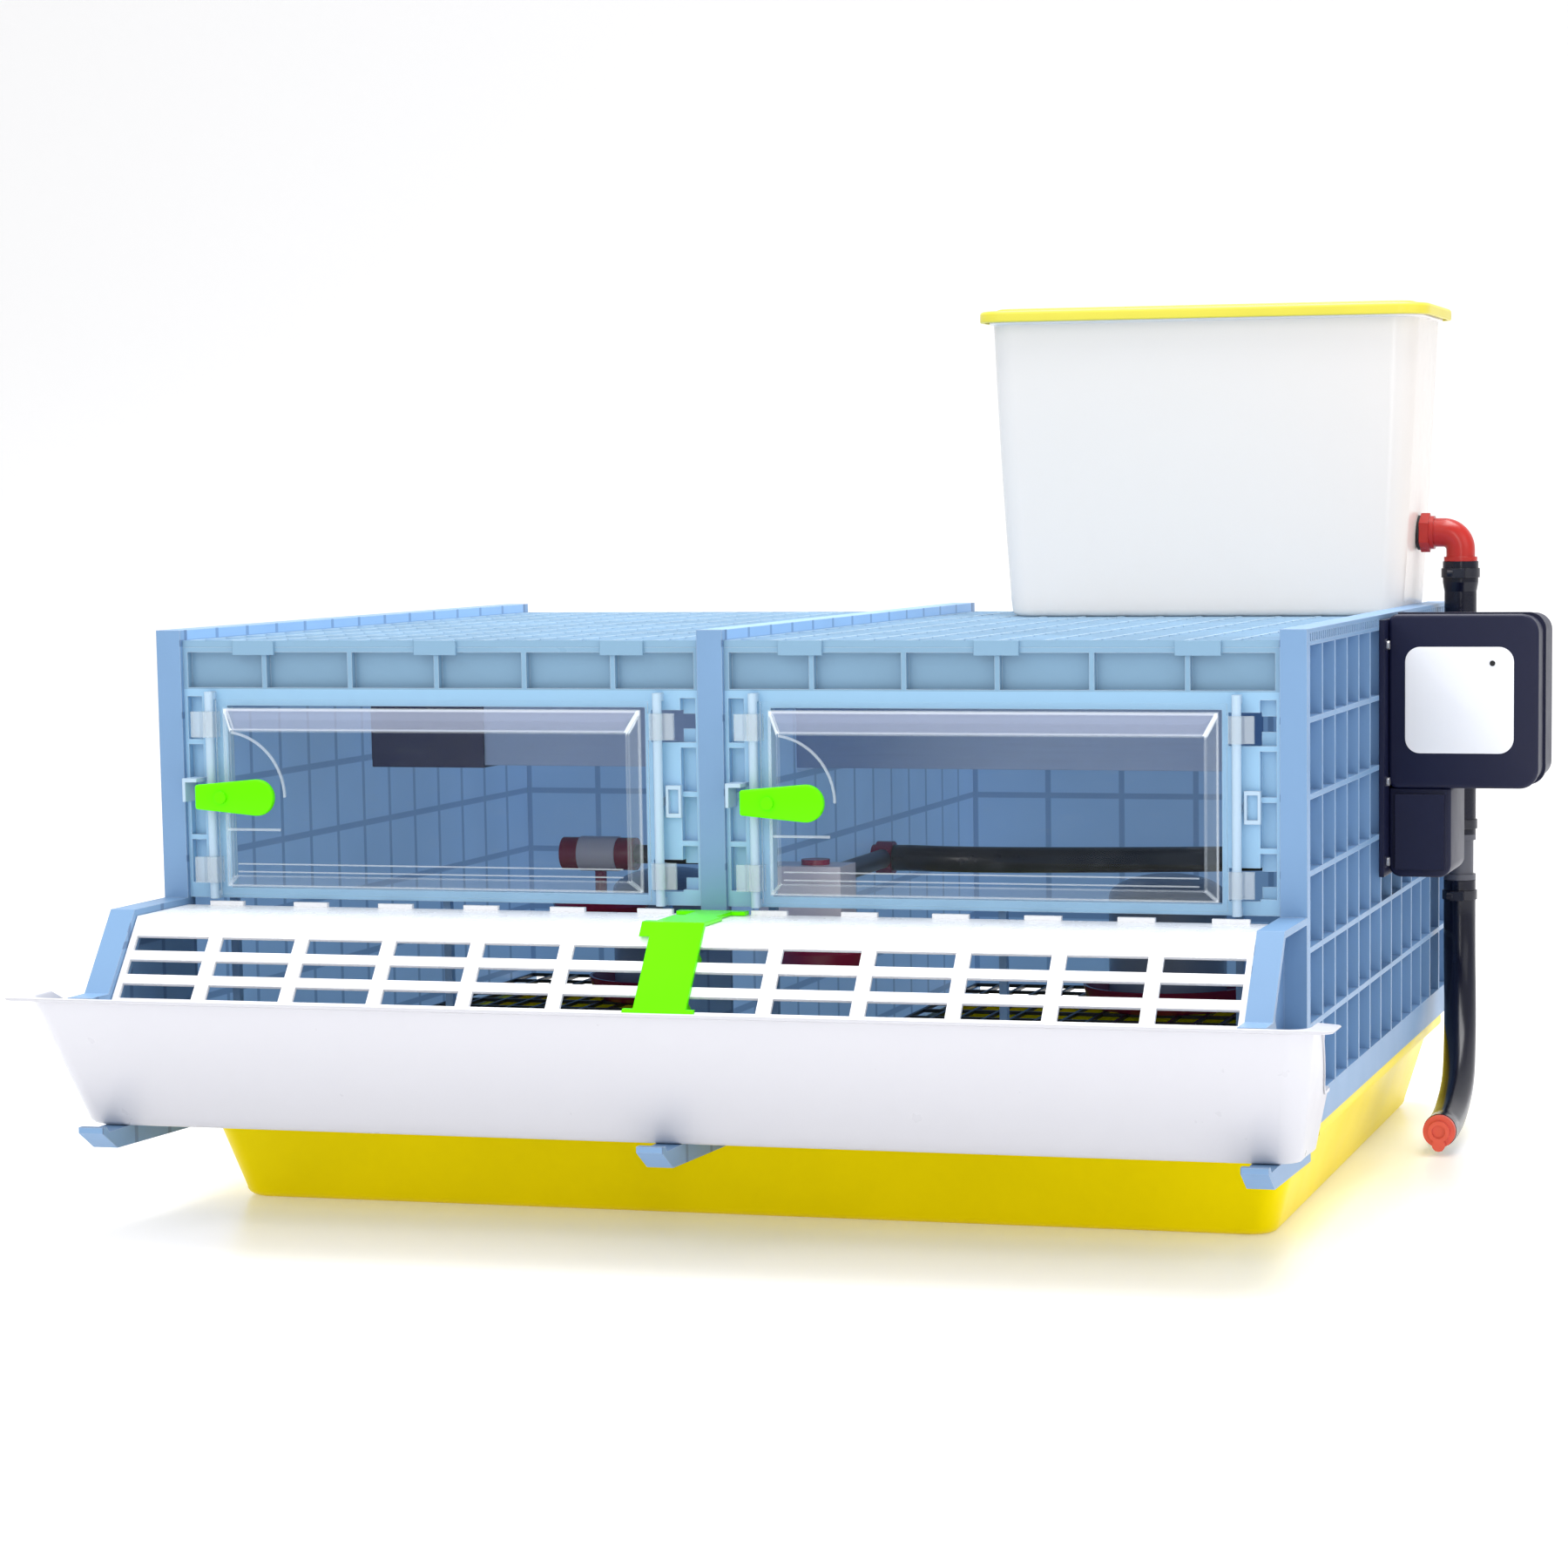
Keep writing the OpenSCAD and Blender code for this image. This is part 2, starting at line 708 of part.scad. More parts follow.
// Clip over the middle of the grille: an arm on the shelf, a bar down the slope and two pegs
module grille_clip() {
    top_in = grille_in - seat_gap;
    b = bend_point(top_in);
    over = top_in - clip_t;
    foot = 80;
    edge = clip_w / 2;
    foot_z = slope_point(top_in, 70)[1];
    shoulder_z = slope_point(top_in, 9)[1];
    color([0.45, 0.98, 0.05]) {
        difference() {
            along_x(clip_x - edge - 8, clip_w + 14) polygon([
                shelf_point(top_in) + [-4, 0], b, slope_point(top_in, foot),
                slope_point(over, foot), bend_point(over), shelf_point(over) + [-4, 0]
            ]);
            block([clip_x + edge, front_y - 170, foot_z], [clip_x + 60, front_y - 13, cheek_z + cut]);
            block([clip_x + edge - 5, front_y - 48, foot_z], [clip_x + 60, front_y - 13, cheek_z + cut]);
            block([clip_x - 60, front_y - 170, foot_z], [clip_x - edge, front_y, shoulder_z]);
            block([clip_x - 60, front_y - 78, shoulder_z], [clip_x - edge, front_y - 13, cheek_z + cut]);
            block([clip_x - 60, front_y - 40, shoulder_z], [clip_x - edge + 8, front_y - 13, cheek_z + cut]);
        }
        for (j = [0, 2])
            translate([clip_peg_x, b[0], b[1]]) rotate([180 + cheek_angle, 0, 0])
                translate([0, slot_first + j * slot_pitch + 2, -1])
                    cube([4, slot_h - 4, 15]);
    }
}

clip_peg_x = panel_t / 2 + slot_bar / 2 + 0.8;

// Trough: leaning walls, low back wall, wide flanges at the ends
module feed_trough() {
    low = [cage_w + 28, trough_reach - 92];
    top = [cage_w + 64, trough_reach - 14];
    low_y = front_y - trough_reach + 59 + low[1] / 2;
    top_y = front_y - trough_reach + 4 + top[1] / 2;
    flange_w = 16;
    back_z = trough_z + 44;
    wall = trough_wall;
    color([0.96, 0.96, 0.98]) difference() {
        union() {
            hull() {
                translate([0, low_y, trough_z]) linear_extrude(0.01) round_rect(low[0], low[1], 26, $fn = 32);
                translate([0, top_y, trough_z + trough_h - 0.01])
                    linear_extrude(0.01) round_rect(top[0], top[1], 34, $fn = 32);
            }
            translate([0, top_y, trough_z + trough_h - 2.5]) linear_extrude(2.5)
                round_rect(top[0] + 2 * flange_w, top[1] + 8, 20);
        }
        hull() {
            translate([0, low_y, trough_z + wall])
                linear_extrude(0.01) round_rect(low[0] - 2 * wall, low[1] - 2 * wall, 23, $fn = 32);
            translate([0, top_y, trough_z + trough_h + cut])
                linear_extrude(0.01) round_rect(top[0] - 2 * wall, top[1] - 2 * wall, 31, $fn = 32);
        }
        along_x(-cage_w, 2 * cage_w) polygon([
            [front_y - 127, trough_z + trough_h + 5], [front_y - 55, back_z], [front_y + 20, back_z],
            [front_y + 20, trough_z + trough_h + 5]
        ]);
    }
}

tank_y = cage_d / 2 - 83;
tank_z = deck_top;
tank_taper = 14;
tank_top = tank_z + tank_h;
outlet_z = tank_z + 70;
hose_y = tank_y;
hose_x = half_w + 21;
// From the tank's side at its rim to the middle of the outer hose
elbow_reach = 28;
tank_x = hose_x - elbow_reach - tank_w / 2;
tank_side = tank_x + tank_w / 2 - tank_taper * (1 - 70 / tank_h);
outlet_r = 9;
tee_z = panel_z0 + 144;
tee_half = 20;
grommet_r = 14;
pipe_r = 8;
line_y = 25;
line_z = panel_z0 + 160;

module water_tank() {
    top = [tank_w, tank_d];
    low = top - [2 * tank_taper, tank_taper];
    inner = [2 * tank_wall, 2 * tank_wall];
    color([0.92, 0.93, 0.95, 0.9]) translate([tank_x, tank_y, tank_z]) difference() {
        union() {
            tub(low, 18, top, 22, tank_h - 6);
            translate([0, 0, tank_h - 8]) linear_extrude(8) round_rect(top[0] + 8, top[1] + 8, 26);
        }
        translate([0, 0, tank_wall]) tub(low - inner, 15, top - inner, 19, tank_h);
        rod_x([tank_w / 2 - 30, 0, outlet_z - tank_z], outlet_r + 2, 60);
    }
}

module tank_lid() {
    w = tank_w + 2 * lid_over;
    d = tank_d + 2 * lid_over;
    z = tank_top + seat_gap;
    color([0.95, 0.90, 0.15]) translate([tank_x, tank_y, 0]) {
        translate([0, 0, z]) linear_extrude(3) round_rect(w, d, 26);
        translate([0, 0, z + 3]) linear_extrude(2) round_rect(w - 24, d - 24, 20);
        translate([0, 0, z + 5]) cylinder(d = 22, h = 1.5);
        translate([0, 0, z + 5 - lid_h]) linear_extrude(lid_h - 5) difference() {
            round_rect(w, d, 26);
            round_rect(w - 6, d - 6, 23);
        }
    }
}

module tank_seal() {
    color([0.15, 0.15, 0.16]) difference() {
        rod_x([tank_side + 1.2, hose_y, outlet_z], 15, 2.5);
        rod_x([tank_side, hose_y, outlet_z], outlet_r, 6);
    }
}

module outlet_nut() {
    color([0.88, 0.20, 0.13]) difference() {
        rod_x([tank_side + 3.7, hose_y, outlet_z], 17, 8, $fn = 6);
        rod_x([tank_side + 2.7, hose_y, outlet_z], outlet_r, 11);
    }
}

// Elbow: threaded spigot through the tank wall, a quarter bend and the barb that the hose is pushed on
module tank_elbow() {
    r = 12.5;
    bend = 15;
    x_end = hose_x - bend;
    color([0.90, 0.22, 0.14]) {
        difference() {
            union() {
                rod_x([tank_side - 10, hose_y, outlet_z], outlet_r, 22);
                rod_x([tank_side + 11.7, hose_y, outlet_z], r + 2, 4);
                rod_x([tank_side + 11.7, hose_y, outlet_z], r, x_end - tank_side - 11.7);
                translate([x_end, hose_y, outlet_z - bend]) rotate([90, 0, 0])
                    rotate_extrude(angle = 90) translate([bend, 0]) circle(r);
                translate([hose_x, hose_y, outlet_z - bend - 8]) cylinder(r = r, h = 8);
                translate([hose_x, hose_y, outlet_z - bend - 10]) cylinder(r = r + 2, h = 4);
            }
            rod_x([tank_side - 11, hose_y, outlet_z], 6, x_end - tank_side + 11);
        }
    }
}

elbow_low = outlet_z - 25;

module upper_hose() {
    z0 = tee_z + tee_half;
    color([0.09, 0.09, 0.20]) translate([hose_x, hose_y, 0]) difference() {
        union() {
            translate([0, 0, z0]) cylinder(d = hose_d, h = elbow_low - z0);
            translate([0, 0, elbow_low - 26]) cylinder(d1 = hose_d, d2 = hose_d + 3, h = 8);
            translate([0, 0, elbow_low - 18]) cylinder(d = hose_d + 3, h = 18);
        }
        translate([0, 0, z0 - cut]) cylinder(d = hose_d - 7, h = elbow_low - z0 + 2 * cut);
    }
}

// Band clamp round a hose, with its screw housing in front
module band_clamp(z, d) {
    band = 8;
    r_in = d / 2 + pin_gap;
    translate([hose_x, hose_y, z]) {
        difference() {
            union() {
                cylinder(r = r_in + 1.2, h = band);
                block([-6, -r_in - 5, 0], [6, -r_in, band]);
            }
            translate([0, 0, -cut]) cylinder(r = r_in, h = band + 2 * cut);
        }
        rod_x([-9, -r_in - 3, band / 2], 3, 5);
    }
}

module hose_clamps() {
    color([0.75, 0.77, 0.80]) {
        band_clamp(elbow_low - 14, hose_d + 3);
        band_clamp(tee_z + tee_half + 5, hose_d);
        band_clamp(drain_top - 17, hose_d);
    }
}

module water_tee() {
    color([0.35, 0.36, 0.40]) difference() {
        union() {
            translate([hose_x, hose_y, tee_z - tee_half]) cylinder(r = 12, h = 2 * tee_half);
            translate([hose_x, hose_y, tee_z + tee_half - 5]) cylinder(d = hose_d, h = 5);
            translate([hose_x, hose_y, tee_z - tee_half]) cylinder(d = hose_d, h = 5);
            rod_x([half_w - panel_t - 14, hose_y, tee_z], 10, hose_x - half_w + panel_t + 14);
        }
        translate([hose_x, hose_y, tee_z - tee_half + 6]) cylinder(r = 8, h = 2 * tee_half);
        rod_x([half_w - panel_t - 15, hose_y, tee_z], 7, hose_x - half_w + panel_t + 15);
    }
}

module tee_collar() {
    color([0.88, 0.20, 0.13]) difference() {
        rod_x([half_w + 1.5, hose_y, tee_z], 13, 6);
        rod_x([half_w + 0.5, hose_y, tee_z], 10, 8);
    }
}

module wall_grommet() {
    color([0.12, 0.12, 0.14]) difference() {
        union() {
            rod_x([half_w - panel_t - 2, hose_y, tee_z], grommet_r, panel_t + 2);
            rod_x([half_w - panel_t - 2, hose_y, tee_z], grommet_r + 4, 2);
        }
        rod_x([half_w - panel_t - 3, hose_y, tee_z], 10, panel_t + 4);
    }
}

// Ring of a swept tube at point p with direction d
function unit(v) = v / norm(v);
function side_of(d) = unit(cross(d, abs(d[2]) > 0.9 ? [0, 1, 0] : [0, 0, 1]));
function point_at(pts, i) = pts[max(0, min(len(pts) - 1, i))];
function blend(pts, i, t) = let (
    a = point_at(pts, i - 1), b = point_at(pts, i), c = point_at(pts, i + 1), d = point_at(pts, i + 2)
) 0.5 * (2 * b + (c - a) * t + (2 * a - 5 * b + 4 * c - d) * t * t + (3 * b - a - 3 * c + d) * t * t * t);
function route(pts, steps) = concat(
    [for (i = [0 : len(pts) - 2], s = [0 : steps - 1]) blend(pts, i, s / steps)],
    [pts[len(pts) - 1]]
);
function heading(r, i) = unit(point_at(r, i + 1) - point_at(r, i - 1));
// The side of each ring is carried on from the ring before it, so the tube does not twist
function sides(r, i = 0, last = undef) = i >= len(r) ? [] : let (
    d = heading(r, i),
    s = i == 0 ? side_of(d) : unit(last - d * (last * d))
) concat([s], sides(r, i + 1, s));

module tube(pts, d, n, steps) {
    r = route(pts, steps);
    s = sides(r);
    m = len(r);
    rings = [for (i = [0 : m - 1], k = [0 : n - 1]) let (
        h = heading(r, i), u = s[i], v = cross(h, u), a = 360 * k / n
    ) r[i] + d / 2 * (cos(a) * u + sin(a) * v)];
    polyhedron(points = rings, faces = concat(
        [[for (k = [0 : n - 1]) k]],
        [for (i = [0 : m - 2], k = [0 : n - 1])
            [i * n + k, (i + 1) * n + k, (i + 1) * n + (k + 1) % n, i * n + (k + 1) % n]],
        [[for (k = [n - 1 : -1 : 0]) (m - 1) * n + k]]
    ), convexity = 6);
}

spigot_x = half_w - panel_t - 14 - seat_gap;
inner_end_x = panel_t / 2 + 18 + seat_gap;

// Hose inside the right bay, from the tee's spigot to the connector at the partition
module inner_hose() {
    color([0.09, 0.09, 0.20]) tube([
        [spigot_x, hose_y, tee_z], [spigot_x - 6, hose_y, tee_z], [spigot_x - 14, hose_y, tee_z],
        [spigot_x - 40, hose_y - 6, tee_z],
        [300, 210, tee_z + 2], [210, 120, tee_z + 8], [130, 52, tee_z + 13],
        [80, line_y + 4, line_z - 1], [44, line_y, line_z], [inner_end_x + 7, line_y, line_z],
        [inner_end_x, line_y, line_z]
    ], inner_hose_d, 12, 3);
}

module hose_connector() {
    color([0.45, 0.10, 0.19]) {
        rod_x([panel_t / 2 + 4, line_y, line_z], 14, 14);
        rod_x([panel_t / 2, line_y, line_z], 11, 4);
    }
}

left_cup_x = -bay_pitch / 2 - 15;
right_cup_x = panel_t / 2 + 40;
right_cup_y = front_y + 96;
valve_len = 66;
cup_z = line_z - 46;

// Pipe from the connector through the partition to the left drinker
module left_feed_pipe() {
    x0 = left_cup_x + valve_len / 2;
    color([0.30, 0.32, 0.38]) rod_x([x0, line_y, line_z], pipe_r, panel_t / 2 - x0);
}

// Pipe that runs forward along the partition to the right drinker
module right_feed_pipe() {
    color([0.30, 0.32, 0.38]) difference() {
        rod_y([panel_t / 2 + 11, right_cup_y + 20, line_z], pipe_r, line_y - right_cup_y - 20);
        rod_x([panel_t / 2, line_y, line_z], 14, 20);
    }
}

module left_valve_barrel() {
    color([0.70, 0.72, 0.78, 0.6]) rod_x([left_cup_x - 17, line_y, line_z], 15, 34);
}

module left_valve_caps() {
    color([0.50, 0.10, 0.18]) {
        for (x = [left_cup_x - valve_len / 2, left_cup_x + 17])
            rod_x([x, line_y, line_z], 14, valve_len / 2 - 17);
    }
}

// Cup: a round bowl with a thick rim and a stem up to the valve
module drinker_cup(x, y, stem_top) {
    r = cup_d / 2;
    translate([x, y, cup_z - 16]) rotate_extrude() polygon([
        [0, 0], [r * 0.55, 0], [r * 0.86, 8], [r - 1, 18], [r, 24], [r - 3, 24], [r - 5, 18],
        [r * 0.80, 11], [r * 0.5, 4], [5, 4], [5, stem_top], [0, stem_top]
    ]);
}

module left_drinker_cup() {
    color([0.42, 0.10, 0.18]) drinker_cup(left_cup_x, line_y, line_z - 15 - cup_z + 16);
}

module right_valve_barrel() {
    color([0.70, 0.72, 0.78, 0.6]) difference() {
        block(
            [panel_t / 2, right_cup_y - 20, line_z - 22],
            [right_cup_x + 26, right_cup_y + 20, line_z + 22]
        );
        translate([right_cup_x, right_cup_y, line_z - 23]) cylinder(r = 11, h = 46);
    }
}

module right_valve_caps() {
    color([0.50, 0.10, 0.18]) translate([right_cup_x, right_cup_y, line_z - 24]) cylinder(r = 11, h = 50);
}

module right_drinker_cup() {
    color([0.42, 0.10, 0.18]) drinker_cup(right_cup_x + 4, right_cup_y, line_z - 24 - cup_z + 16);
}

left_fount = [-240, 215];
right_fount = [220, 225];
fount_floor = 5;

module fount_tray(at) {
    r = fount_d / 2;
    j = jar_d / 2;
    color([0.42, 0.08, 0.16]) translate([at[0], at[1], floor_z + mesh_t]) rotate_extrude() polygon([
        [0, 0], [r - 8, 0], [r - 4, 4], [r, 20], [r - 2.5, 20], [r - 6.5, 6], [j + 4, fount_floor],
        [j - 4, fount_floor], [j - 4, fount_floor + 4], [0, fount_floor + 4]
    ]);
}

module fount_jar(at) {
    j = jar_d / 2;
    z = floor_z + mesh_t + fount_floor + seat_gap;
    color([0.70, 0.71, 0.76, 0.6]) translate([at[0], at[1], z]) difference() {
        union() {
            cylinder(r = j, h = jar_h - 20);
            translate([0, 0, jar_h - 20]) rotate_extrude() intersection() {
                scale([1, 1]) translate([0, 0]) polygon([
                    for (a = [0 : 10 : 90]) [j * cos(a), 20 * sin(a)], [0, 0]
                ]);
                square([j, 20]);
            }
        }
        translate([0, 0, -cut]) cylinder(r = j - 2.5, h = jar_h - 22);
    }
}

hose_r = hose_d / 2;
hose_end_z = hose_r + 6;
drain_top = tee_z - tee_half - seat_gap;

// Drain hose: hangs from the tee, leans forward and ends just above the floor
module drain_hose() {
    x = hose_x;
    y = hose_y;
    color([0.09, 0.09, 0.20]) tube([
        [x, y, drain_top], [x, y, drain_top - 10], [x, y, drain_top - 34], [x + 1, y - 6, 140],
        [x + 4, y - 24, 106], [x + 8, y - 54, 72], [x + 12, y - 94, 45], [x + 13, y - 140, 27],
        [x + 13, y - 180, hose_end_z], [x + 13, y - 200, hose_end_z], [x + 13, y - 208, hose_end_z]
    ], hose_d, 12, 3);
}

// Plug with a rim, a boss and a pull tab that hangs from it
module drain_plug() {
    x = hose_x + 13;
    y = hose_y - 208 - seat_gap;
    color([0.92, 0.34, 0.30]) {
        rod_y([x, y - 5, hose_end_z], hose_r - 0.5, 5);
        difference() {
            rod_y([x, y - 8, hose_end_z], 9, 4);
            rod_y([x, y - 9, hose_end_z], 5.5, 3);
        }
        block([x - 3, y - 8, 4], [x + 3, y - 5.5, hose_end_z - 7]);
        difference() {
            rod_y([x, y - 8, 9], 5.5, 2.5);
            rod_y([x, y - 9, 9], 2, 5);
        }
    }
}

heater_y = -180;
heater_z = deck_under - 54 - heater_h;
heater_x0 = -heater_len / 2;

module heater_casing() {
    x0 = heater_x0 + heater_box;
    fins = 7;
    color([0.62, 0.64, 0.68]) difference() {
        block([x0, heater_y, heater_z], [heater_x0 + heater_len, heater_y + heater_d, heater_z + heater_h]);
        for (i = [1 : fins])
            block(
                [x0 + 12, heater_y + i * heater_d / (fins + 1) - 4, heater_z - cut],
                [heater_x0 + heater_len - 12, heater_y + i * heater_d / (fins + 1) + 4, heater_z + heater_h - 8]
            );
    }
}

module heater_end_box() {
    color([0.10, 0.11, 0.27]) {
        block([heater_x0 + 3, heater_y - 2, heater_z - 2], [heater_x0 + heater_box, heater_y + heater_d + 2, heater_z + heater_h]);
        block([heater_x0, heater_y + 4, heater_z + 4], [heater_x0 + 3, heater_y + heater_d - 4, heater_z + heater_h - 6]);
    }
}

module heater_hangers() {
    color([0.75, 0.76, 0.78]) for (x = [heater_x0 + 40, -60, 60, heater_x0 + heater_len - 40])
        for (y = [heater_y + 15, heater_y + heater_d - 18]) {
            block([x - 9, y, heater_z + heater_h], [x + 9, y + 2, deck_under]);
            block([x - 9, y - 8, heater_z + heater_h], [x + 9, y + 2, heater_z + heater_h + 2]);
            block([x - 9, y - 8, deck_under - 2], [x + 9, y + 2, deck_under]);
        }
}

plate_y0 = -37;
plate_y1 = 100;
plate_t = 4;
head_y = -16;
head_x0 = half_w + plate_t;
head_z1 = panel_z1;
head_z0 = head_z1 - head_h;
terminal_z0 = head_z0 - terminal_h;
cover_t = 9;

module control_plate() {
    color([0.11, 0.12, 0.22]) {
        block([half_w, plate_y0, terminal_z0 + 2], [half_w + plate_t, plate_y1, head_z1 - 4]);
        for (z = screw_z)
            rod_x([half_w + plate_t, plate_y0 + 7, z], 5, 1.5);
    }
}

screw_z = [terminal_z0 + 14, head_z0 + 6, head_z1 - 24];

module control_screws() {
    color([0.75, 0.77, 0.80]) for (z = screw_z) {
        rod_x([half_w + plate_t + 1.5, plate_y0 + 7, z], 3.5, 2);
    }
}

// Outline of the head, square on the panel side and rounded on the other
module head_outline(inset) {
    r = 14;
    x1 = head_x0 + head_w - inset;
    z0 = head_z0 + inset;
    z1 = head_z1 - inset;
    translate([head_x0 + inset, z0]) square([head_w - 2 * inset - r, z1 - z0]);
    translate([x1 - r - 1, z0 + r]) square([r + 1, z1 - z0 - 2 * r]);
    for (z = [z0 + r, z1 - r])
        translate([x1 - r, z]) circle(r);
}

module control_case() {
    color([0.12, 0.13, 0.23]) {
        along_y(head_y + cover_t, head_d - cover_t) head_outline(2);
        along_y(head_y + head_d * 0.45, 6) head_outline(0);
    }
}

module control_cover() {
    color([0.11, 0.12, 0.21]) difference() {
        along_y(head_y, cover_t) head_outline(0);
        along_y(head_y - cut, 1 + cut) face_outline(0.3);
        rod_y([lamp_x, head_y - cut, lamp_z], 2.2, 5);
    }
}

face_w = 87;
face_h = 85;
face_x = head_x0 + head_w / 2 - 3;
face_z = head_z0 + head_h / 2 + 1;
lamp_x = face_x + face_w / 2 - 17;
lamp_z = face_z + face_h / 2 - 13;

module face_outline(grow) {
    translate([face_x, face_z]) round_rect(face_w + grow, face_h + grow, 12);
}

module control_face() {
    color([0.95, 0.96, 0.98]) difference() {
        along_y(head_y - 0.5, 1.5) face_outline(0);
        rod_y([lamp_x, head_y - cut, lamp_z], 2.2, 5);
    }
}

module control_lamp() {
    color([0.05, 0.05, 0.06]) rod_y([lamp_x, head_y - 1.2, lamp_z], 2.2, 4);
}

module terminal_housing() {
    r = 10;
    x0 = head_x0;
    color([0.10, 0.11, 0.20]) along_y(head_y + 4, head_d - 30) {
        translate([x0, terminal_z0 + r]) square([terminal_w, terminal_h - r]);
        translate([x0 + r, terminal_z0]) square([terminal_w - 2 * r, r + 1]);
        for (x = [x0 + r, x0 + terminal_w - r])
            translate([x, terminal_z0 + r]) circle(r);
    }
}

module terminal_lid() {
    color([0.12, 0.13, 0.22])
        block(
            [head_x0 + 5, head_y + 1, terminal_z0 + 6],
            [head_x0 + terminal_w - 5, head_y + 4, head_z0 - 5]
        );
}

manure_tray();
left_side_panel();
middle_partition();
right_side_panel();
front_panel(0);  // left_front_panel
front_panel(1);  // right_front_panel
rear_panel(0);  // left_rear_panel
rear_panel(1);  // right_rear_panel
top_deck(0);  // left_top_deck
top_deck(1);  // right_top_deck
floor_mesh(0);  // left_floor_mesh
floor_mesh(1);  // right_floor_mesh
door(0);  // left_door
door(1);  // right_door
latch_lever(0);  // left_latch_lever
latch_lever(1);  // right_latch_lever
lever_pin(0);  // left_lever_pin
lever_pin(1);  // right_lever_pin
feeder_grille();
grille_clip();
feed_trough();
water_tank();
tank_lid();
tank_seal();
outlet_nut();
tank_elbow();
upper_hose();
water_tee();
tee_collar();
wall_grommet();
inner_hose();
hose_connector();
left_feed_pipe();
right_feed_pipe();
left_valve_barrel();
left_valve_caps();
left_drinker_cup();
right_valve_barrel();
right_valve_caps();
right_drinker_cup();
fount_tray(left_fount);  // left_fount_tray
fount_jar(left_fount);  // left_fount_jar
fount_tray(right_fount);  // right_fount_tray
fount_jar(right_fount);  // right_fount_jar
drain_hose();
drain_plug();
heater_casing();
heater_end_box();
heater_hangers();
control_plate();
control_case();
control_cover();
control_face();
control_lamp();
terminal_housing();
terminal_lid();
control_screws();
left_feed_posts();
right_feed_posts();
hose_clamps();
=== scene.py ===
import math

import bpy
import numpy as np
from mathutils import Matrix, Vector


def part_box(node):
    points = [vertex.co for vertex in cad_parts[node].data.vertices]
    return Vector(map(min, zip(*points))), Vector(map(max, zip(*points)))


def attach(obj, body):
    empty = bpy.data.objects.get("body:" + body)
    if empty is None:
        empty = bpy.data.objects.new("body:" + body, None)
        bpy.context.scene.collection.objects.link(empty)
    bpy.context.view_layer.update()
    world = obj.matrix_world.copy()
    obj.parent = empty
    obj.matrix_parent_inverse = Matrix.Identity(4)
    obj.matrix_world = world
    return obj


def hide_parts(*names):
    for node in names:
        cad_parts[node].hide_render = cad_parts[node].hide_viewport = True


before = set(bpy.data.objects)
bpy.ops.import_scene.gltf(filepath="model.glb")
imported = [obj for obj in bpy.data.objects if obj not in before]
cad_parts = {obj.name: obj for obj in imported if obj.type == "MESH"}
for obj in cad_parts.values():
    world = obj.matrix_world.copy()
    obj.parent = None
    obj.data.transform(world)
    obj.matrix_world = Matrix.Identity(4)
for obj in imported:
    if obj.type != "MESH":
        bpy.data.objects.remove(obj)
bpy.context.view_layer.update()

bl_info = {
    "name": "Chick brooder box",
    "version": (1, 0, 0),
    "blender": (4, 5, 0),
    "location": "3D View > Sidebar > Brooder",
    "description": "Finishes and fine pieces of a two-bay chick brooder box",
    "category": "Object",
}

# Sizes of the solids that finishes and fine pieces follow, in metres
PANEL_FOOT, PANEL_TALL = 0.0853, 0.365
RAIL_FOOT, RAIL_TOP = 0.024, 0.012
RIB, RIB_LINE = 0.004, 0.0052
DEPTH_CELLS, ACROSS_CELLS, LEVEL_CELLS = 13, 6, 6
SIDE_INSIDE, PARTITION_INSIDE, BAY_WIDE = 0.430, 0.010, 0.42
BAY_SIDE = SIDE_INSIDE + 0.0005
NEAR = 0.0006
LEVER_PIVOTS, LEVER_LEVEL = (("left", -0.390), ("right", 0.050)), 0.3232
TANK_X, TANK_Y = 0.2555, 0.277

# Looks that several finishes share
# Share of each colour kept in the painted shade of ribs seen through a thin skin
RIB_SHADE_TONE = (0.28, 0.34, 0.45)
GRAIN_DEPTH = 0.00004

# Points of one round corner of the tray and the trough
CORNER = 12


# Shader maths


class Wire:
    """A socket of a finish. Sums, differences, products and quotients with wires or numbers add Math
    nodes."""

    def __init__(self, finish, socket):
        self.finish, self.socket = finish, socket

    def math(self, operation, *values):
        return self.finish.node("ShaderNodeMath", {"operation": operation}, *values)

    def __add__(self, other):
        return self.math("ADD", self, other)

    def __radd__(self, other):
        return self.math("ADD", other, self)

    def __sub__(self, other):
        return self.math("SUBTRACT", self, other)

    def __rsub__(self, other):
        return self.math("SUBTRACT", other, self)

    def __mul__(self, other):
        return self.math("MULTIPLY", self, other)

    def __rmul__(self, other):
        return self.math("MULTIPLY", other, self)

    def __truediv__(self, other):
        return self.math("DIVIDE", self, other)

    def __abs__(self):
        return self.math("ABSOLUTE", self)

    def above(self, other):
        return self.math("GREATER_THAN", self, other)

    def below(self, other):
        return self.math("LESS_THAN", self, other)

    def high(self, other):
        return self.math("MAXIMUM", self, other)

    def low(self, other):
        return self.math("MINIMUM", self, other)

    def clip(self):
        return self.low(1).high(0)

    def step(self, start, end):
        """0 before start, 1 after end, with a soft ramp between them."""
        return self.finish.node(
            "ShaderNodeMapRange", {"interpolation_type": "SMOOTHSTEP"}, self, start, end, 0, 1
        )

    def stripe(self, first, pitch, width, soft=0.0006):
        """1 on stripes of that width, one every pitch from first on, with soft edges."""
        off = self.math("PINGPONG", self - first, pitch / 2)
        return 1 - off.step(width / 2 - soft, width / 2 + soft)


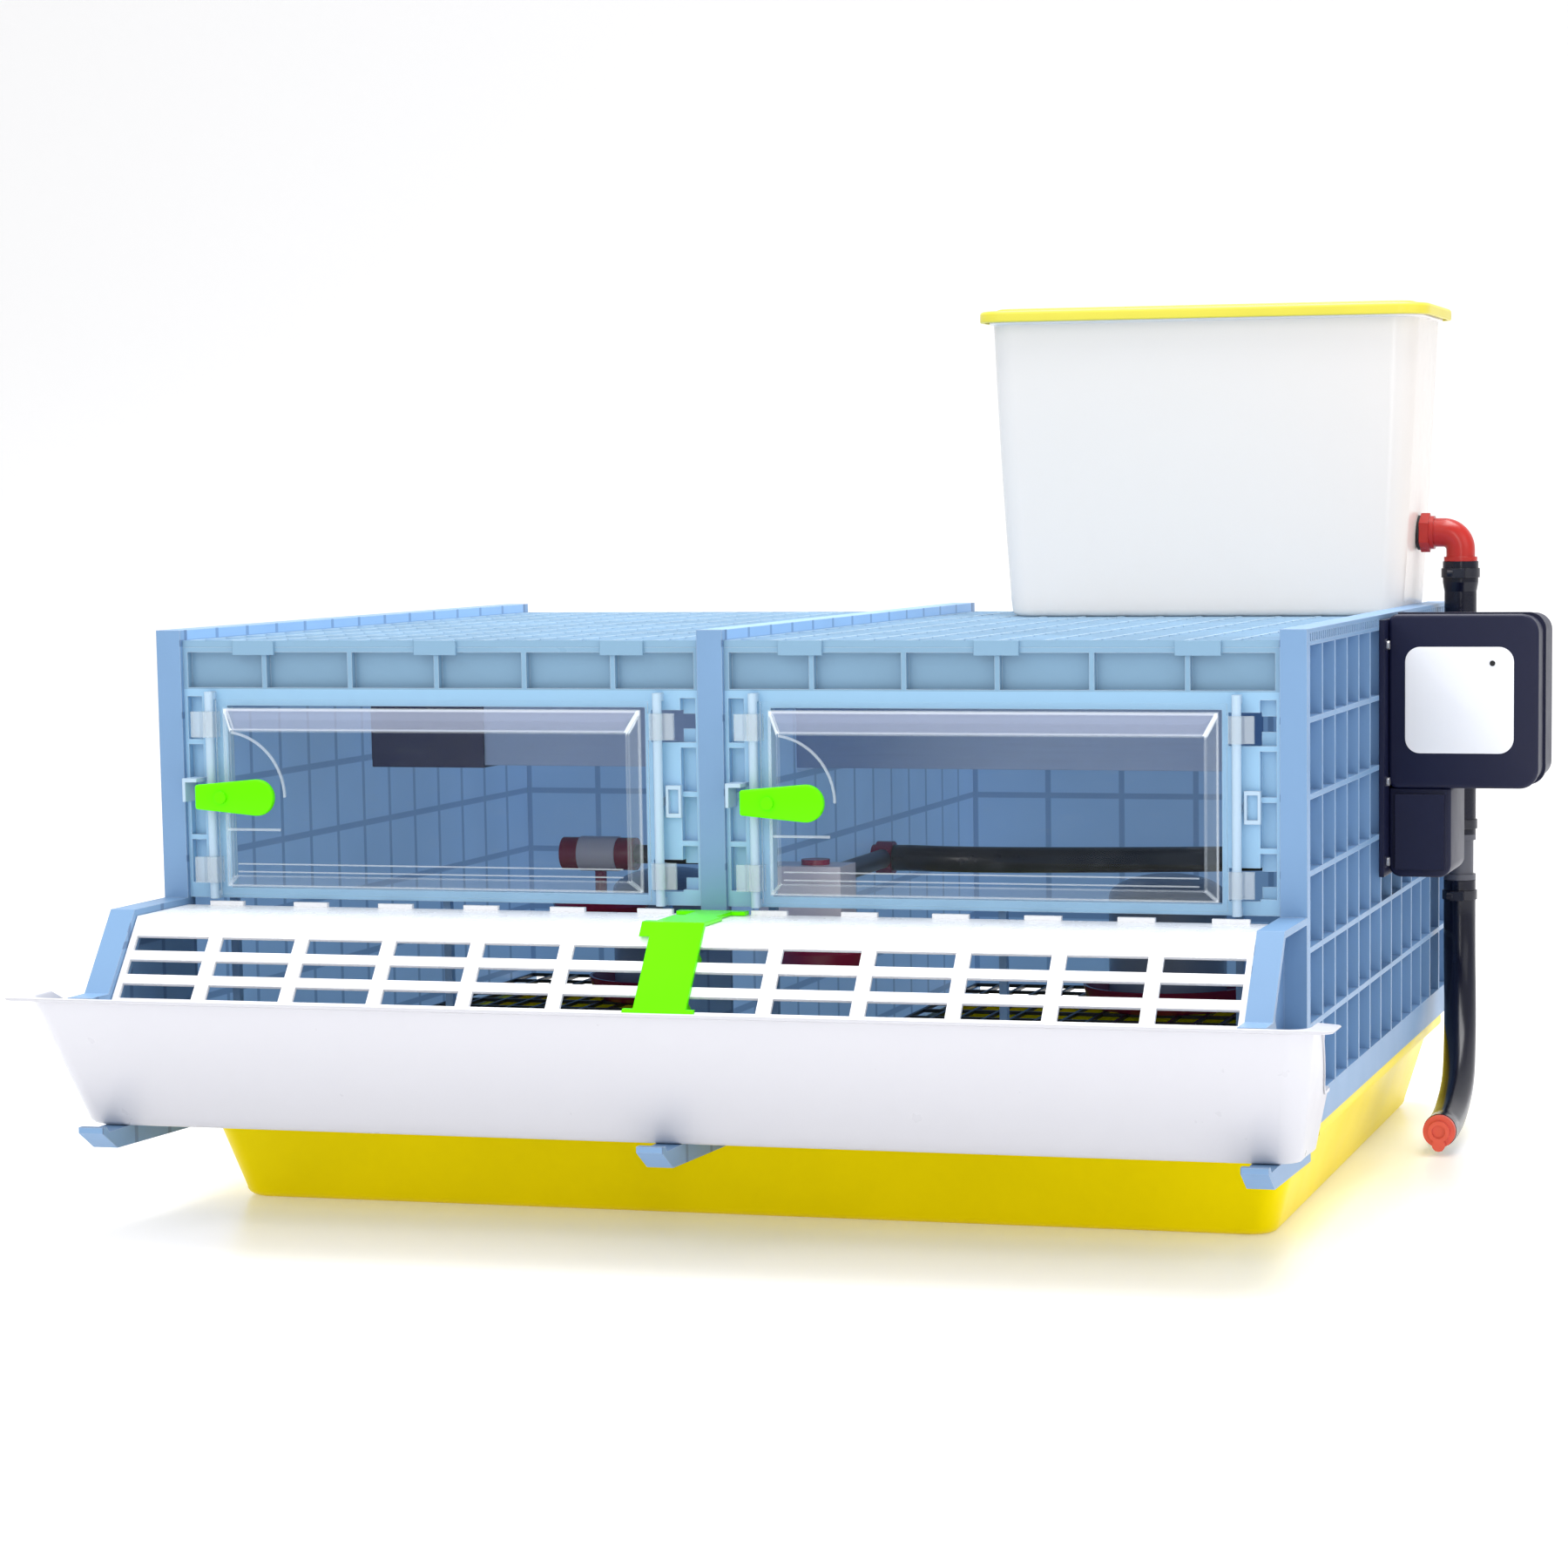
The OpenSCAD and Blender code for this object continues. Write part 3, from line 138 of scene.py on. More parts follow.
class Finish:
    """A material with one Principled shader, and short calls for the nodes that feed it."""

    def __init__(self, name, colour, **sockets):
        old = bpy.data.materials.get(name)
        if old:
            bpy.data.materials.remove(old)
        self.material = bpy.data.materials.new(name)
        self.material.use_nodes = True
        self.tree = self.material.node_tree
        self.shader = next(n for n in self.tree.nodes if n.type == "BSDF_PRINCIPLED")
        self.put("Base Color", (*colour, 1))
        for key, value in sockets.items():
            self.put(key.replace("_", " ").title().replace("Ior", "IOR"), value)
        self.material.diffuse_color = (*colour, 1)
        self._at = None

    def feed(self, socket, value):
        """Links a wire to a socket, or sets the socket to a value."""
        if isinstance(value, Wire):
            self.tree.links.new(value.socket, socket)
        else:
            socket.default_value = value

    def put(self, name, value):
        """Feeds a socket of the shader."""
        self.feed(self.shader.inputs[name], value)

    def node(self, kind, settings, *values, out=0, **named):
        """One node: its settings first, then its inputs in order or by name. Gives its output."""
        made = self.tree.nodes.new(kind)
        for key, value in settings.items():
            setattr(made, key, value)
        for key, value in (*enumerate(values), *named.items()):
            self.feed(made.inputs[key], value)
        return Wire(self, made.outputs[out])

    @property
    def place(self):
        """Object coordinates, which are the row frame in metres."""
        if self._at is None:
            self._at = self.node("ShaderNodeTexCoord", {}, out="Object")
        return self._at

    def axis(self, index):
        """One of the three coordinates as a number."""
        return self.node("ShaderNodeSeparateXYZ", {}, self.place, out=index)

    def normal(self, index):
        """One part of the face's own direction."""
        made = self.node("ShaderNodeNewGeometry", {}, out="Normal")
        return self.node("ShaderNodeSeparateXYZ", {}, made, out=index)

    def stretch(self, x, y, z):
        """Object coordinates with each axis scaled, for grain that runs one way."""
        return self.node("ShaderNodeVectorMath", {"operation": "MULTIPLY"}, self.place, (x, y, z))

    def noise(self, scale, detail=3.0, rough=0.5, at=None):
        return self.node(
            "ShaderNodeTexNoise", {}, Vector=at or self.place, Scale=scale, Detail=detail, Roughness=rough
        )

    def specks(self, scale):
        return self.node("ShaderNodeTexVoronoi", {}, Vector=self.place, Scale=scale)

    def tint(self, colour, factor, other):
        """Mixes colour towards other by factor."""
        made = self.tree.nodes.new("ShaderNodeMix")
        made.data_type = "RGBA"
        self.feed(made.inputs[0], factor)
        for index, value in ((6, colour), (7, other)):
            self.feed(made.inputs[index], value if isinstance(value, Wire) else (*value, 1))
        return Wire(self, made.outputs[2])

    def clouds(self, colour, scale, low, high):
        """Colour that drifts between a darker and a paler shade of itself."""
        return self.tint(shade(colour, low), self.noise(scale, 3).step(0.3, 0.7), shade(colour, high))

    def bump(self, height, depth, strength=1.0, normal=None):
        """Normal from a height; depth is in metres."""
        more = {} if normal is None else {"Normal": normal}
        return self.node("ShaderNodeBump", {}, Strength=strength, Distance=depth, Height=height, **more)

    def soft_edges(self, radius, samples=3):
        """Normal of edges rounded to that radius."""
        return self.node("ShaderNodeBevel", {"samples": samples}, Radius=radius)

    def edge_mask(self, radius):
        """1 on edges and 0 on flat faces, from how far the rounded normal turns off the face's own."""
        own = self.node("ShaderNodeNewGeometry", {}, out="Normal")
        turned = self.node(
            "ShaderNodeVectorMath", {"operation": "DOT_PRODUCT"}, self.soft_edges(radius, 4), own,
            out="Value",
        )
        return (1 - turned).step(0.01, 0.3)

    def grained(self, rough, spread, patches, grain, radius):
        """Roughness in patches upwards of rough, and a fine grain on edges rounded to that radius."""
        self.put("Roughness", rough + spread * self.noise(patches, 4))
        under = self.soft_edges(radius) if radius else None
        self.put("Normal", self.bump(self.noise(grain, 2), GRAIN_DEPTH, 1.0, under))


def shade(colour, factor):
    return tuple(min(1.0, c * factor) for c in colour)


def lit(colour):
    """Painted highlight: the paler colour of thin plastic where light comes out of its edges."""
    return tuple(c + (1 - c) * 0.42 for c in colour)


def dimmed(colour, parts):
    return tuple(c * part for c, part in zip(colour, parts))


# Surfaces


def mesh_piece(name, points, faces, finish, body, sharp):
    """Makes a piece from an array of points and a list of faces, in the row frame, riding on a body.
    Faces that meet at more than sharp degrees keep the edge between them."""
    old = bpy.data.objects.get(name)
    if old:
        bpy.data.objects.remove(old)
    mesh = bpy.data.meshes.new(name)
    mesh.from_pydata(points.tolist(), [], faces)
    mesh.validate()
    mesh.polygons.foreach_set("use_smooth", np.ones(len(mesh.polygons), bool))
    mesh.set_sharp_from_angle(angle=math.radians(sharp))
    mesh.update()
    piece = bpy.data.objects.new(name, mesh)
    bpy.context.scene.collection.objects.link(piece)
    mesh.materials.append(finish)
    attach(piece, body)
    return piece


def strip_faces(rows, columns):
    """Quads of a grid of rows of points, each row closed round on itself."""
    r = np.arange(rows - 1)[:, None] * columns
    c = np.arange(columns)[None, :]
    n = (c + 1) % columns
    quads = np.stack([r + c, r + n, r + n + columns, r + c + columns], -1)
    return quads.reshape(-1, 4).tolist()


def tube_points(path, radius, sides):
    """Rings round a path. Each ring is a circle of that radius in the plane square to the path, and
    its first point is carried on from the ring before it, so the tube does not twist."""
    ahead = np.gradient(path, axis=0)
    ahead /= np.linalg.norm(ahead, axis=1)[:, None]
    side = np.cross(ahead[0], [0, 1, 0] if abs(ahead[0][2]) > 0.9 else [0, 0, 1])
    across = np.zeros_like(path)
    for i, d in enumerate(ahead):
        side = side - d * (side @ d)
        side /= np.linalg.norm(side)
        across[i] = side
    up = np.cross(ahead, across)
    turn = np.linspace(0, 2 * math.pi, sides, endpoint=False)
    ring = np.cos(turn)[None, :, None] * across[:, None] + np.sin(turn)[None, :, None] * up[:, None]
    return path[:, None] + radius * ring


def smooth_path(points, steps):
    """A curve through the points: between two of them it is a cubic whose slope at each point is half
    the way from the point before it to the point after it."""
    p = np.asarray(points, float)
    p = np.vstack([p[:1], p, p[-1:]])
    t = (np.arange(steps) / steps)[None, :, None]
    a, b, c, d = (p[i : len(p) - 3 + i][:, None] for i in range(4))
    curve = 0.5 * (
        2 * b + (c - a) * t + (2 * a - 5 * b + 4 * c - d) * t**2 + (3 * b - a - 3 * c + d) * t**3
    )
    return np.vstack([curve.reshape(-1, 3), p[-2:-1]])


def round_ring(cx, cy, half_x, half_y, radius, z, steps):
    """One closed ring in the shape of a rectangle with round corners: four quarter circles of equal
    count, joined by straight sides."""
    radius = min(radius, half_x - 1e-4, half_y - 1e-4)
    turn = np.linspace(0, math.pi / 2, steps)
    corner = np.stack([np.cos(turn), np.sin(turn)], -1) * radius
    parts = []
    for k, (sx, sy) in enumerate(((1, 1), (-1, 1), (-1, -1), (1, -1))):
        c, s = math.cos(k * math.pi / 2), math.sin(k * math.pi / 2)
        at = np.array([sx * (half_x - radius), sy * (half_y - radius)])
        parts.append(corner @ np.array([[c, s], [-s, c]]) + at)
    flat = np.vstack(parts)
    return np.column_stack([flat[:, 0] + cx, flat[:, 1] + cy, np.full(len(flat), z)])


def ring_piece(name, rings, finish, body, sharp):
    """A closed skin through rings of equal count, with a flat face over its first and last ring."""
    rings = np.asarray(rings, float)
    rows, columns = rings.shape[:2]
    last = (rows - 1) * columns
    ends = [list(range(columns))[::-1], list(range(last, last + columns))]
    faces = strip_faces(rows, columns) + ends
    return mesh_piece(name, rings.reshape(-1, 3), faces, finish, body, sharp)


def shell_piece(name, rings, finish, body):
    """A vessel, through rings from the middle of the underside round the outside, over the rim and
    down to the middle of the inside."""
    return ring_piece(name, rings, finish, body, 35.0)


def swept_tube(name, path, radius, finish, body, sides):
    """A round tube along a path, closed by a flat disc at each end."""
    return ring_piece(name, tube_points(path, radius, sides), finish, body, 40.0)


def outline_normals(flat):
    """Directions square to a closed outline that runs anticlockwise, pointing out."""
    ahead = np.roll(flat, -1, 0) - np.roll(flat, 1, 0)
    ahead /= np.linalg.norm(ahead, axis=1)[:, None]
    return np.column_stack([ahead[:, 1], -ahead[:, 0]])


def slab_rings(flat, back, front, edge, steps):
    """Rings of a slab cut to an outline in X and Z, whose front has the smaller Y. From the back the
    ring steps out round a quarter circle of radius edge, goes straight to the front and steps in
    again in the same way."""
    out = outline_normals(flat)
    turn = np.linspace(0, math.pi / 2, steps)
    rings = []

    def ring(inset, y):
        q = flat - out * inset
        rings.append(np.column_stack([q[:, 0], np.full(len(q), y), q[:, 1]]))

    for a in turn:
        ring(edge * (1 - math.sin(a)), back - edge * (1 - math.cos(a)))
    for a in turn[::-1]:
        ring(edge * (1 - math.sin(a)), front + edge * (1 - math.cos(a)))
    return rings


def slab_piece(name, flat, back, front, edge, finish, body, steps=4):
    """A slab with rounded edges, closed by its back face and its front face."""
    return ring_piece(name, slab_rings(flat, back, front, edge, steps), finish, body, 45.0)


def round_outline(x0, x1, z0, z1, radii):
    """Outline of a rectangle in X and Z, anticlockwise from its upper right corner, with its own
    radius at each corner."""
    turn = np.linspace(0, math.pi / 2, 10)
    parts = []
    corners = ((x1, z1, -1, -1), (x0, z1, 1, -1), (x0, z0, 1, 1), (x1, z0, -1, 1))
    for k, ((x, z, ix, iz), r) in enumerate(zip(corners, radii)):
        a = turn + k * math.pi / 2
        parts.append(np.column_stack([x + ix * r + r * np.cos(a), z + iz * r + r * np.sin(a)]))
    return np.vstack(parts)


# Finishes


def moulded(name, colour, rough, mottle=0.05, edges=0.0008, **sockets):
    """Moulded plastic: faint clouds in its colour, a fine grain and slightly rounded edges."""
    m = Finish(name, colour, **sockets)
    m.put("Base Color", m.clouds(colour, 9, 1 - mottle, 1 + mottle))
    m.grained(rough - 0.05, 0.1, 35, 900, edges)
    return m


def rib_levels(z):
    """1 at the heights of the level ribs behind the skin of side and rear panels."""
    pitch = (PANEL_TALL - RAIL_TOP - RAIL_FOOT + RIB) / LEVEL_CELLS
    return z.stripe(PANEL_FOOT + RAIL_FOOT - RIB / 2, pitch, RIB_LINE)


def panel_finish(name, colour):
    """Pale plastic of the side panels and the partition. Its thin skin shows the ribs behind it as lines
    of painted shade on the smooth side, has painted shade at the bottom of its cells and a painted
    highlight along its edges, and inside the bays gives off a painted glow that stands in for daylight
    let in."""
    m = Finish(name, colour)
    size = bpy.context.scene.brooder_cage
    x, y, z = (m.axis(i) for i in range(3))
    pitch = (size.depth - 2 * RAIL_TOP + RIB) / DEPTH_CELLS
    along = y.stripe(-size.depth / 2 + RAIL_TOP - RIB / 2, pitch, RIB_LINE)
    inner = abs(abs(x) - SIDE_INSIDE).below(NEAR).high(abs(x - PARTITION_INSIDE).below(NEAR))
    base = m.clouds(colour, 7, 0.95, 1.04)
    # Painted shade at the bottom of the cells between the outer ribs
    cell = abs(m.normal(0)).above(0.9) * abs(x).below(SIDE_INSIDE + 0.0045) * abs(x).above(BAY_SIDE)
    base = m.tint(base, cell * 0.45, dimmed(colour, (0.55, 0.65, 0.80)))
    # Painted highlight along the edges
    base = m.tint(base, m.edge_mask(0.0012) * 0.5, lit(colour))
    # Painted shade: the ribs behind the skin show as darker lines on its inner faces
    ribs = along.high(rib_levels(z)) * inner
    skin = m.tint(base, ribs * size.rib_shadow, dimmed(colour, RIB_SHADE_TONE))
    m.put("Base Color", skin)
    # Painted glow: inside the bays the skin gives off its own colour as light, standing in for daylight
    # through it
    bay_end, bay_foot = 0.3485, 0.09
    bay = abs(x).below(BAY_SIDE) * abs(y).below(bay_end) * z.above(bay_foot)
    m.put("Emission Color", m.tint((0, 0, 0), bay, skin))
    m.put("Emission Strength", size.glow)
    m.grained(0.36, 0.12, 30, 700, 0.0007)
    return m


def front_finish(name, colour):
    """Pale plastic of the front frames: a painted highlight on the door bars in front, painted light
    round the doors and along edges, and painted shade in the recesses of the band above the doors."""
    m = Finish(name, colour)
    y, z = m.axis(1), m.axis(2)
    band_foot, recess_y, bar_y = 0.405, -0.353, -0.3575
    band = z.above(band_foot)
    base = m.clouds(colour, 11, 0.96, 1.04)
    # Painted light: below the band the frames round the doors are made paler
    base = m.tint(base, 1 - band, shade(colour, 1.35))
    # Painted shade in the recesses of the band
    base = m.tint(base, y.above(recess_y) * band * 0.35, shade(colour, 0.72))
    # Painted highlight on the door bars in front
    base = m.tint(base, y.below(bar_y) * 0.55, lit(colour))
    # Painted highlight along the edges
    m.put("Base Color", m.tint(base, m.edge_mask(0.0012) * 0.6, lit(colour)))
    m.grained(0.24, 0.14, 30, 700, 0.0007)
    return m


def deck_finish(name, colour, tab):
    """Pale plastic of the decks, painted paler than the same plastic elsewhere as light from above. The
    tabs that hook over the front frames have the frames' colour, which paints them darker than the deck.
    """
    m = Finish(name, colour)
    tab_y = -0.3465
    # Painted light: the deck is a paler copy of the plastic, and its tabs keep the frames' darker copy
    m.put("Base Color", m.tint(m.clouds(colour, 9, 0.95, 1.05), m.axis(1).below(tab_y), tab))
    m.grained(0.37, 0.1, 35, 900, 0.0008)
    return m


def rear_finish(name, colour):
    """Pale plastic of the rear panels, with lines of painted shade where the ribs run up and across
    behind them, and a painted glow on their inner side.
    """
    m = Finish(name, colour)
    size = bpy.context.scene.brooder_cage
    x, y, z = (m.axis(i) for i in range(3))
    across = (abs(x) - PARTITION_INSIDE).stripe(RIB / 2, (BAY_WIDE - RIB) / ACROSS_CELLS, RIB_LINE)
    skin_y = 0.348
    inner = abs(y - skin_y).below(NEAR)
    # Painted shade: the ribs behind the skin show as darker lines on its inner face
    ribs = across.high(rib_levels(z)) * inner
    skin = m.tint(m.clouds(colour, 7, 0.95, 1.04), ribs * size.rib_shadow, dimmed(colour, RIB_SHADE_TONE))
    m.put("Base Color", skin)
    # Painted glow: the inner side gives off its own colour as light, standing in for daylight through the
    # skin
    m.put("Emission Color", m.tint((0, 0, 0), y.below(skin_y + 0.001), skin))
    m.put("Emission Strength", size.glow)
    m.grained(0.36, 0.12, 30, 700, 0.0007)
    return m


def door_finish(name, colour, clear):
    """Clear moulded plastic. Its pane lets nearly everything through. Its slanting border, its lugs
    and its edges, where light runs along the sheet, are milkier, with painted sheen on the edges and a
    painted reflection of the sky on the top of the border. Its rim and fold lines are painted highlights,
    and the mitres of the border carry the brightest painted highlight, a glint near the top. The border
    is found from the distance to the pane's own rectangle."""
    m = Finish(name, colour, specular_ior_level=0.45)
    low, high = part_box("left_door")
    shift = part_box("right_door")[0][0] - low[0]
    x, y, z = (m.axis(i) for i in range(3))
    u = x - low[0] - shift * x.above(0)
    wide, tall = high[0] - low[0], high[2] - low[2]
    side_lip, end_lip, slope, lug_wide = 0.0265, 0.007, 0.008, 0.0185
    glint_tall, guide_y = 0.024, -0.3724
    past_side = abs(u - wide / 2) - (wide / 2 - side_lip - slope)
    past_end = abs(z - low[2] - tall / 2) - (tall / 2 - end_lip - slope)
    past_top = (z - high[2] + end_lip) / 2 + slope
    out = past_side.high(past_end).high(past_top)
    border = out.above(0) * out.below(slope)
    # Painted reflection of the sky on the top of the border
    top = border * (past_top - past_side.high(0.0)).above(0)
    # Painted highlights on the mitres of the border, brightest as a glint near the top
    mitre = border * (1 - abs(past_side - past_top.high(past_end)).step(0.0008, 0.0020))
    glint = mitre * z.above(high[2] - glint_tall)
    # Painted highlight lines along the outer rim and the inner fold of the border
    rim = 1 - abs(out - slope).step(0.0004, 0.0011)
    fold = 1 - abs(out).step(0.0003, 0.0009)
    lug = u.below(lug_wide).high(u.above(wide - lug_wide))
    proud = y.below(guide_y)
    # Painted sheen: faces turned away from the front are milkier, where light runs along the sheet
    edge = 1 - abs(m.normal(1)).step(0.2, 0.55)
    haze = m.noise(40, 4, 0.6)
    scratch = m.noise(260, 2, 0.7, m.stretch(0.15, 1, 1)).step(0.62, 0.7)
    # Milkiness from painted light: the reflection on the top border and the highlights on mitres, glint,
    # rim and fold, with a little haze over the whole border
    milk = (0.32 * top + 0.05 * border + 0.3 * mitre + 0.5 * glint + 0.26 * rim + 0.14 * fold).low(0.9)
    alpha = clear + 0.015 * haze + 0.02 * scratch + milk
    m.put("Alpha", alpha.high(lug * 0.32).high(proud * 0.42).high(edge * 0.4).clip())
    # Painted highlights on glints, mitres, rim and fold lines, and paler guides and lugs
    highlights_and_pale_parts = (glint + 0.5 * mitre + 0.6 * rim + 0.5 * fold + 0.35 * proud + 0.12 * lug).clip()
    # Painted reflection: the top of the border takes a lavender sky tint
    base_with_sky_reflection = m.tint(shade(colour, 0.8), (top * 0.9).clip(), (0.36, 0.41, 0.56))
    m.put("Base Color", m.tint(base_with_sky_reflection, highlights_and_pale_parts, (0.80, 0.86, 0.93)))
    m.put("Roughness", 0.05 + 0.1 * haze)
    m.put("Normal", m.bump(m.noise(9, 2), 0.0006, 0.25, m.soft_edges(0.0008)))
    return m


def smoke_finish(name, colour):
    """Smoky see-through plastic, denser in soft patches."""
    m = Finish(name, colour, roughness=0.22)
    m.put("Alpha", (0.72 + 0.2 * m.noise(40, 2)).clip())
    m.put("Normal", m.bump(m.noise(300, 2), 0.00005))
    return m


def milky_finish(name, colour, foot, low, high, gloss=0.2):
    """Milky plastic: its colour turns from the foot colour low down to its own higher up, and above it
    faint flow marks run upwards. On the tank the paler, warmer foot is painted against the blue light
    that the deck throws on it.
    """
    m = Finish(name, colour)
    flow = m.noise(14, 4, 0.6, m.stretch(1, 1, 0.25))
    base = m.tint(foot, m.axis(2).step(low, high), colour)
    m.put("Base Color", m.tint(base, flow * 0.12, shade(colour, 0.92)))
    m.put("Roughness", gloss - 0.05 + 0.16 * m.noise(50, 3))
    m.put("Normal", m.bump(m.noise(600, 2), 0.00004, 1.0, m.soft_edges(0.001)))
    return m


def hose_finish(name, colour):
    """Soft hose: dark, with a satin skin, a fine grain and a little dust."""
    m = Finish(name, colour, specular_ior_level=0.3)
    dust = m.noise(120, 4, 0.7)
    m.put("Base Color", m.tint(colour, dust.step(0.55, 0.8) * 0.2, shade(colour, 2.2)))
    m.put("Roughness", 0.13 + 0.16 * dust)
    m.put("Normal", m.bump(m.noise(500, 3), 0.00006))
    return m


def metal_finish(name, colour, rough, metallic):
    """Sheet metal, brushed along the X axis."""
    m = Finish(name, colour, metallic=metallic)
    lines = m.noise(300, 3, 0.6, m.stretch(0.05, 1, 1))
    m.put("Base Color", m.tint(shade(colour, 0.88), lines, shade(colour, 1.06)))
    m.put("Roughness", rough - 0.08 + 0.16 * lines)
    m.put("Normal", m.bump(lines, 0.00003, 1.0, m.soft_edges(0.0006)))
    return m


def spark_finish(name, colour, rough):
    """Housing plastic with the fine even texture of a sparked mould."""
    m = Finish(name, colour, specular_ior_level=0.3)
    m.put("Base Color", m.tint(shade(colour, 0.9), m.noise(12, 3), shade(colour, 1.12)))
    m.put("Roughness", rough - 0.04 + 0.1 * m.noise(60, 3))
    m.put("Normal", m.bump(m.specks(1500), 0.00005, 0.6, m.soft_edges(0.001)))
    return m


def dress(finish, *nodes):
    """Gives CAD nodes a finish in all their material slots."""
    for name in nodes:
        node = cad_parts[name]
        node.data.materials.clear()
        node.data.materials.append(finish.material)


# Settings


class CageSettings(bpy.types.PropertyGroup):
    """Sizes of the cage that the finishes follow, and how strong their painted rib shade and painted glow
    are.
    """

    depth: bpy.props.FloatProperty(
        name="Panel depth", description="Depth of a side panel", default=0.72, unit="LENGTH"
    )
    rib_shadow: bpy.props.FloatProperty(
        name="Rib shadow", description="How dark the ribs show through the skin", default=0.55,
        min=0.0, max=1.0, subtype="FACTOR",
    )
    # Strength of the painted glow that stands in for daylight through the thin skins
    glow: bpy.props.FloatProperty(
        name="Light through the skin", description="Daylight that the thin skins let into the bays",
        default=0.5, min=0.0, max=1.0, subtype="FACTOR",
    )


def colour_prop(label, words, value):
    return bpy.props.FloatVectorProperty(
        name=label, description=words, default=value, size=3, min=0.0, max=1.0, subtype="COLOR"
    )


class ColourSettings(bpy.types.PropertyGroup):
    """Colours of the finishes, in linear light."""

    panel: colour_prop("Panels", "Ribbed side panels and rear panels", (0.165, 0.30, 0.50))
    # The decks' colour is the panels' plastic made paler, as painted light from above
    deck: colour_prop("Decks", "Top decks over both bays", (0.34, 0.49, 0.63))
    front: colour_prop("Front frames", "Frames round the doors", (0.205, 0.36, 0.51))
    mesh: colour_prop("Floor mesh", "Mesh floors of both bays", (0.010, 0.011, 0.016))
    door: colour_prop("Doors", "Clear doors", (0.80, 0.90, 0.97))
    lime: colour_prop("Latches", "Latch levers and grille clip", (0.13, 0.88, 0.001))
    trough: colour_prop("Trough", "White feed trough", (0.57, 0.57, 0.61))
    grille: colour_prop("Grille", "White slotted grille", (0.86, 0.87, 0.90))
    tank: colour_prop("Tank", "Water tank", (0.75, 0.71, 0.68))
    # The tank's paler, warmer foot is painted against the blue light that the deck throws on it
    tank_foot: colour_prop("Tank foot", "Lower part of the water tank", (0.82, 0.76, 0.72))
    lid: colour_prop("Lid", "Tank lid", (0.69, 0.60, 0.05))
    tray: colour_prop("Tray", "Manure tray", (0.96, 0.77, 0.0))
    red: colour_prop("Tank fittings", "Nut, elbow and collar", (0.43, 0.010, 0.005))
    coral: colour_prop("Drain plug", "Plug of the drain hose", (0.75, 0.10, 0.07))
    maroon: colour_prop("Drinkers", "Cups, fount trays and valve caps", (0.27, 0.010, 0.055))
    smoke: colour_prop("Jars", "Fount jars", (0.33, 0.34, 0.40))
    barrel: colour_prop("Barrels", "Valve barrels", (0.66, 0.62, 0.68))
    grey: colour_prop("Pipes", "Inner pipes and tee", (0.075, 0.078, 0.10))
    hose: colour_prop("Hoses", "Soft water hoses", (0.004, 0.005, 0.015))
    navy: colour_prop("Housings", "Control box and heater end", (0.004, 0.006, 0.030))
    face: colour_prop("Face plate", "Bare plate of the control box", (0.86, 0.87, 0.90))
    heater: colour_prop("Heater", "Casing of the heater", (0.26, 0.36, 0.56))


class HoseSettings(bpy.types.PropertyGroup):
    """Real sizes of the hoses."""

    outer: bpy.props.FloatProperty(
        name="Outer hose", description="Diameter of the outer hoses", default=0.028, unit="LENGTH"
    )
    inner: bpy.props.FloatProperty(
        name="Inner hose", description="Diameter of the hose in the cage", default=0.022, unit="LENGTH"
    )
    drain_length: bpy.props.FloatProperty(
        name="Drain hose", description="Length of the drain hose", default=0.323, unit="LENGTH"
    )


class StageSettings(bpy.types.PropertyGroup):
    """Camera, lights and floor."""

    lens: bpy.props.FloatProperty(name="Lens", description="Focal length in millimetres", default=88.1)
    key: bpy.props.FloatProperty(
        name="Key light", description="Power of the large front light", default=42.0, unit="POWER"
    )
    fill: bpy.props.FloatProperty(
        name="Fill light", description="Power of the side light", default=16.0, unit="POWER"
    )
    top: bpy.props.FloatProperty(
        name="Top light", description="Power of the light above the deck", default=150.0, unit="POWER"
    )
    strip: bpy.props.FloatProperty(
        name="Strip light", description="Power of the narrow light that edges shine in", default=14.0,
        unit="POWER",
    )
    room: bpy.props.FloatProperty(
        name="Room light", description="Strength of the light from all round", default=0.72, min=0.0
    )
    floor: colour_prop("Floor", "Colour of the floor", (0.92, 0.92, 0.93))
    floor_glow: bpy.props.FloatProperty(
        name="Floor glow", description="Light that the white floor gives by itself", default=0.16, min=0.0
    )


DRAIN_ROUTE = [
    (0.471, 0.277, 0.2090), (0.471, 0.277, 0.1990), (0.471, 0.277, 0.1750), (0.472, 0.271, 0.140),
    (0.475, 0.253, 0.106), (0.479, 0.223, 0.072), (0.483, 0.183, 0.045), (0.484, 0.137, 0.027),
    (0.484, 0.097, 0.020), (0.484, 0.077, 0.020), (0.484, 0.069, 0.020),
]
INNER_ROUTE = [
    (0.4157, 0.277, 0.2293), (0.4097, 0.277, 0.2293), (0.4017, 0.277, 0.2293), (0.3757, 0.271, 0.2293),
    (0.300, 0.210, 0.2313), (0.210, 0.120, 0.2373), (0.130, 0.052, 0.2423), (0.080, 0.029, 0.2443),
    (0.044, 0.025, 0.2453), (0.0353, 0.025, 0.2453), (0.0283, 0.025, 0.2453),
]


# Pieces


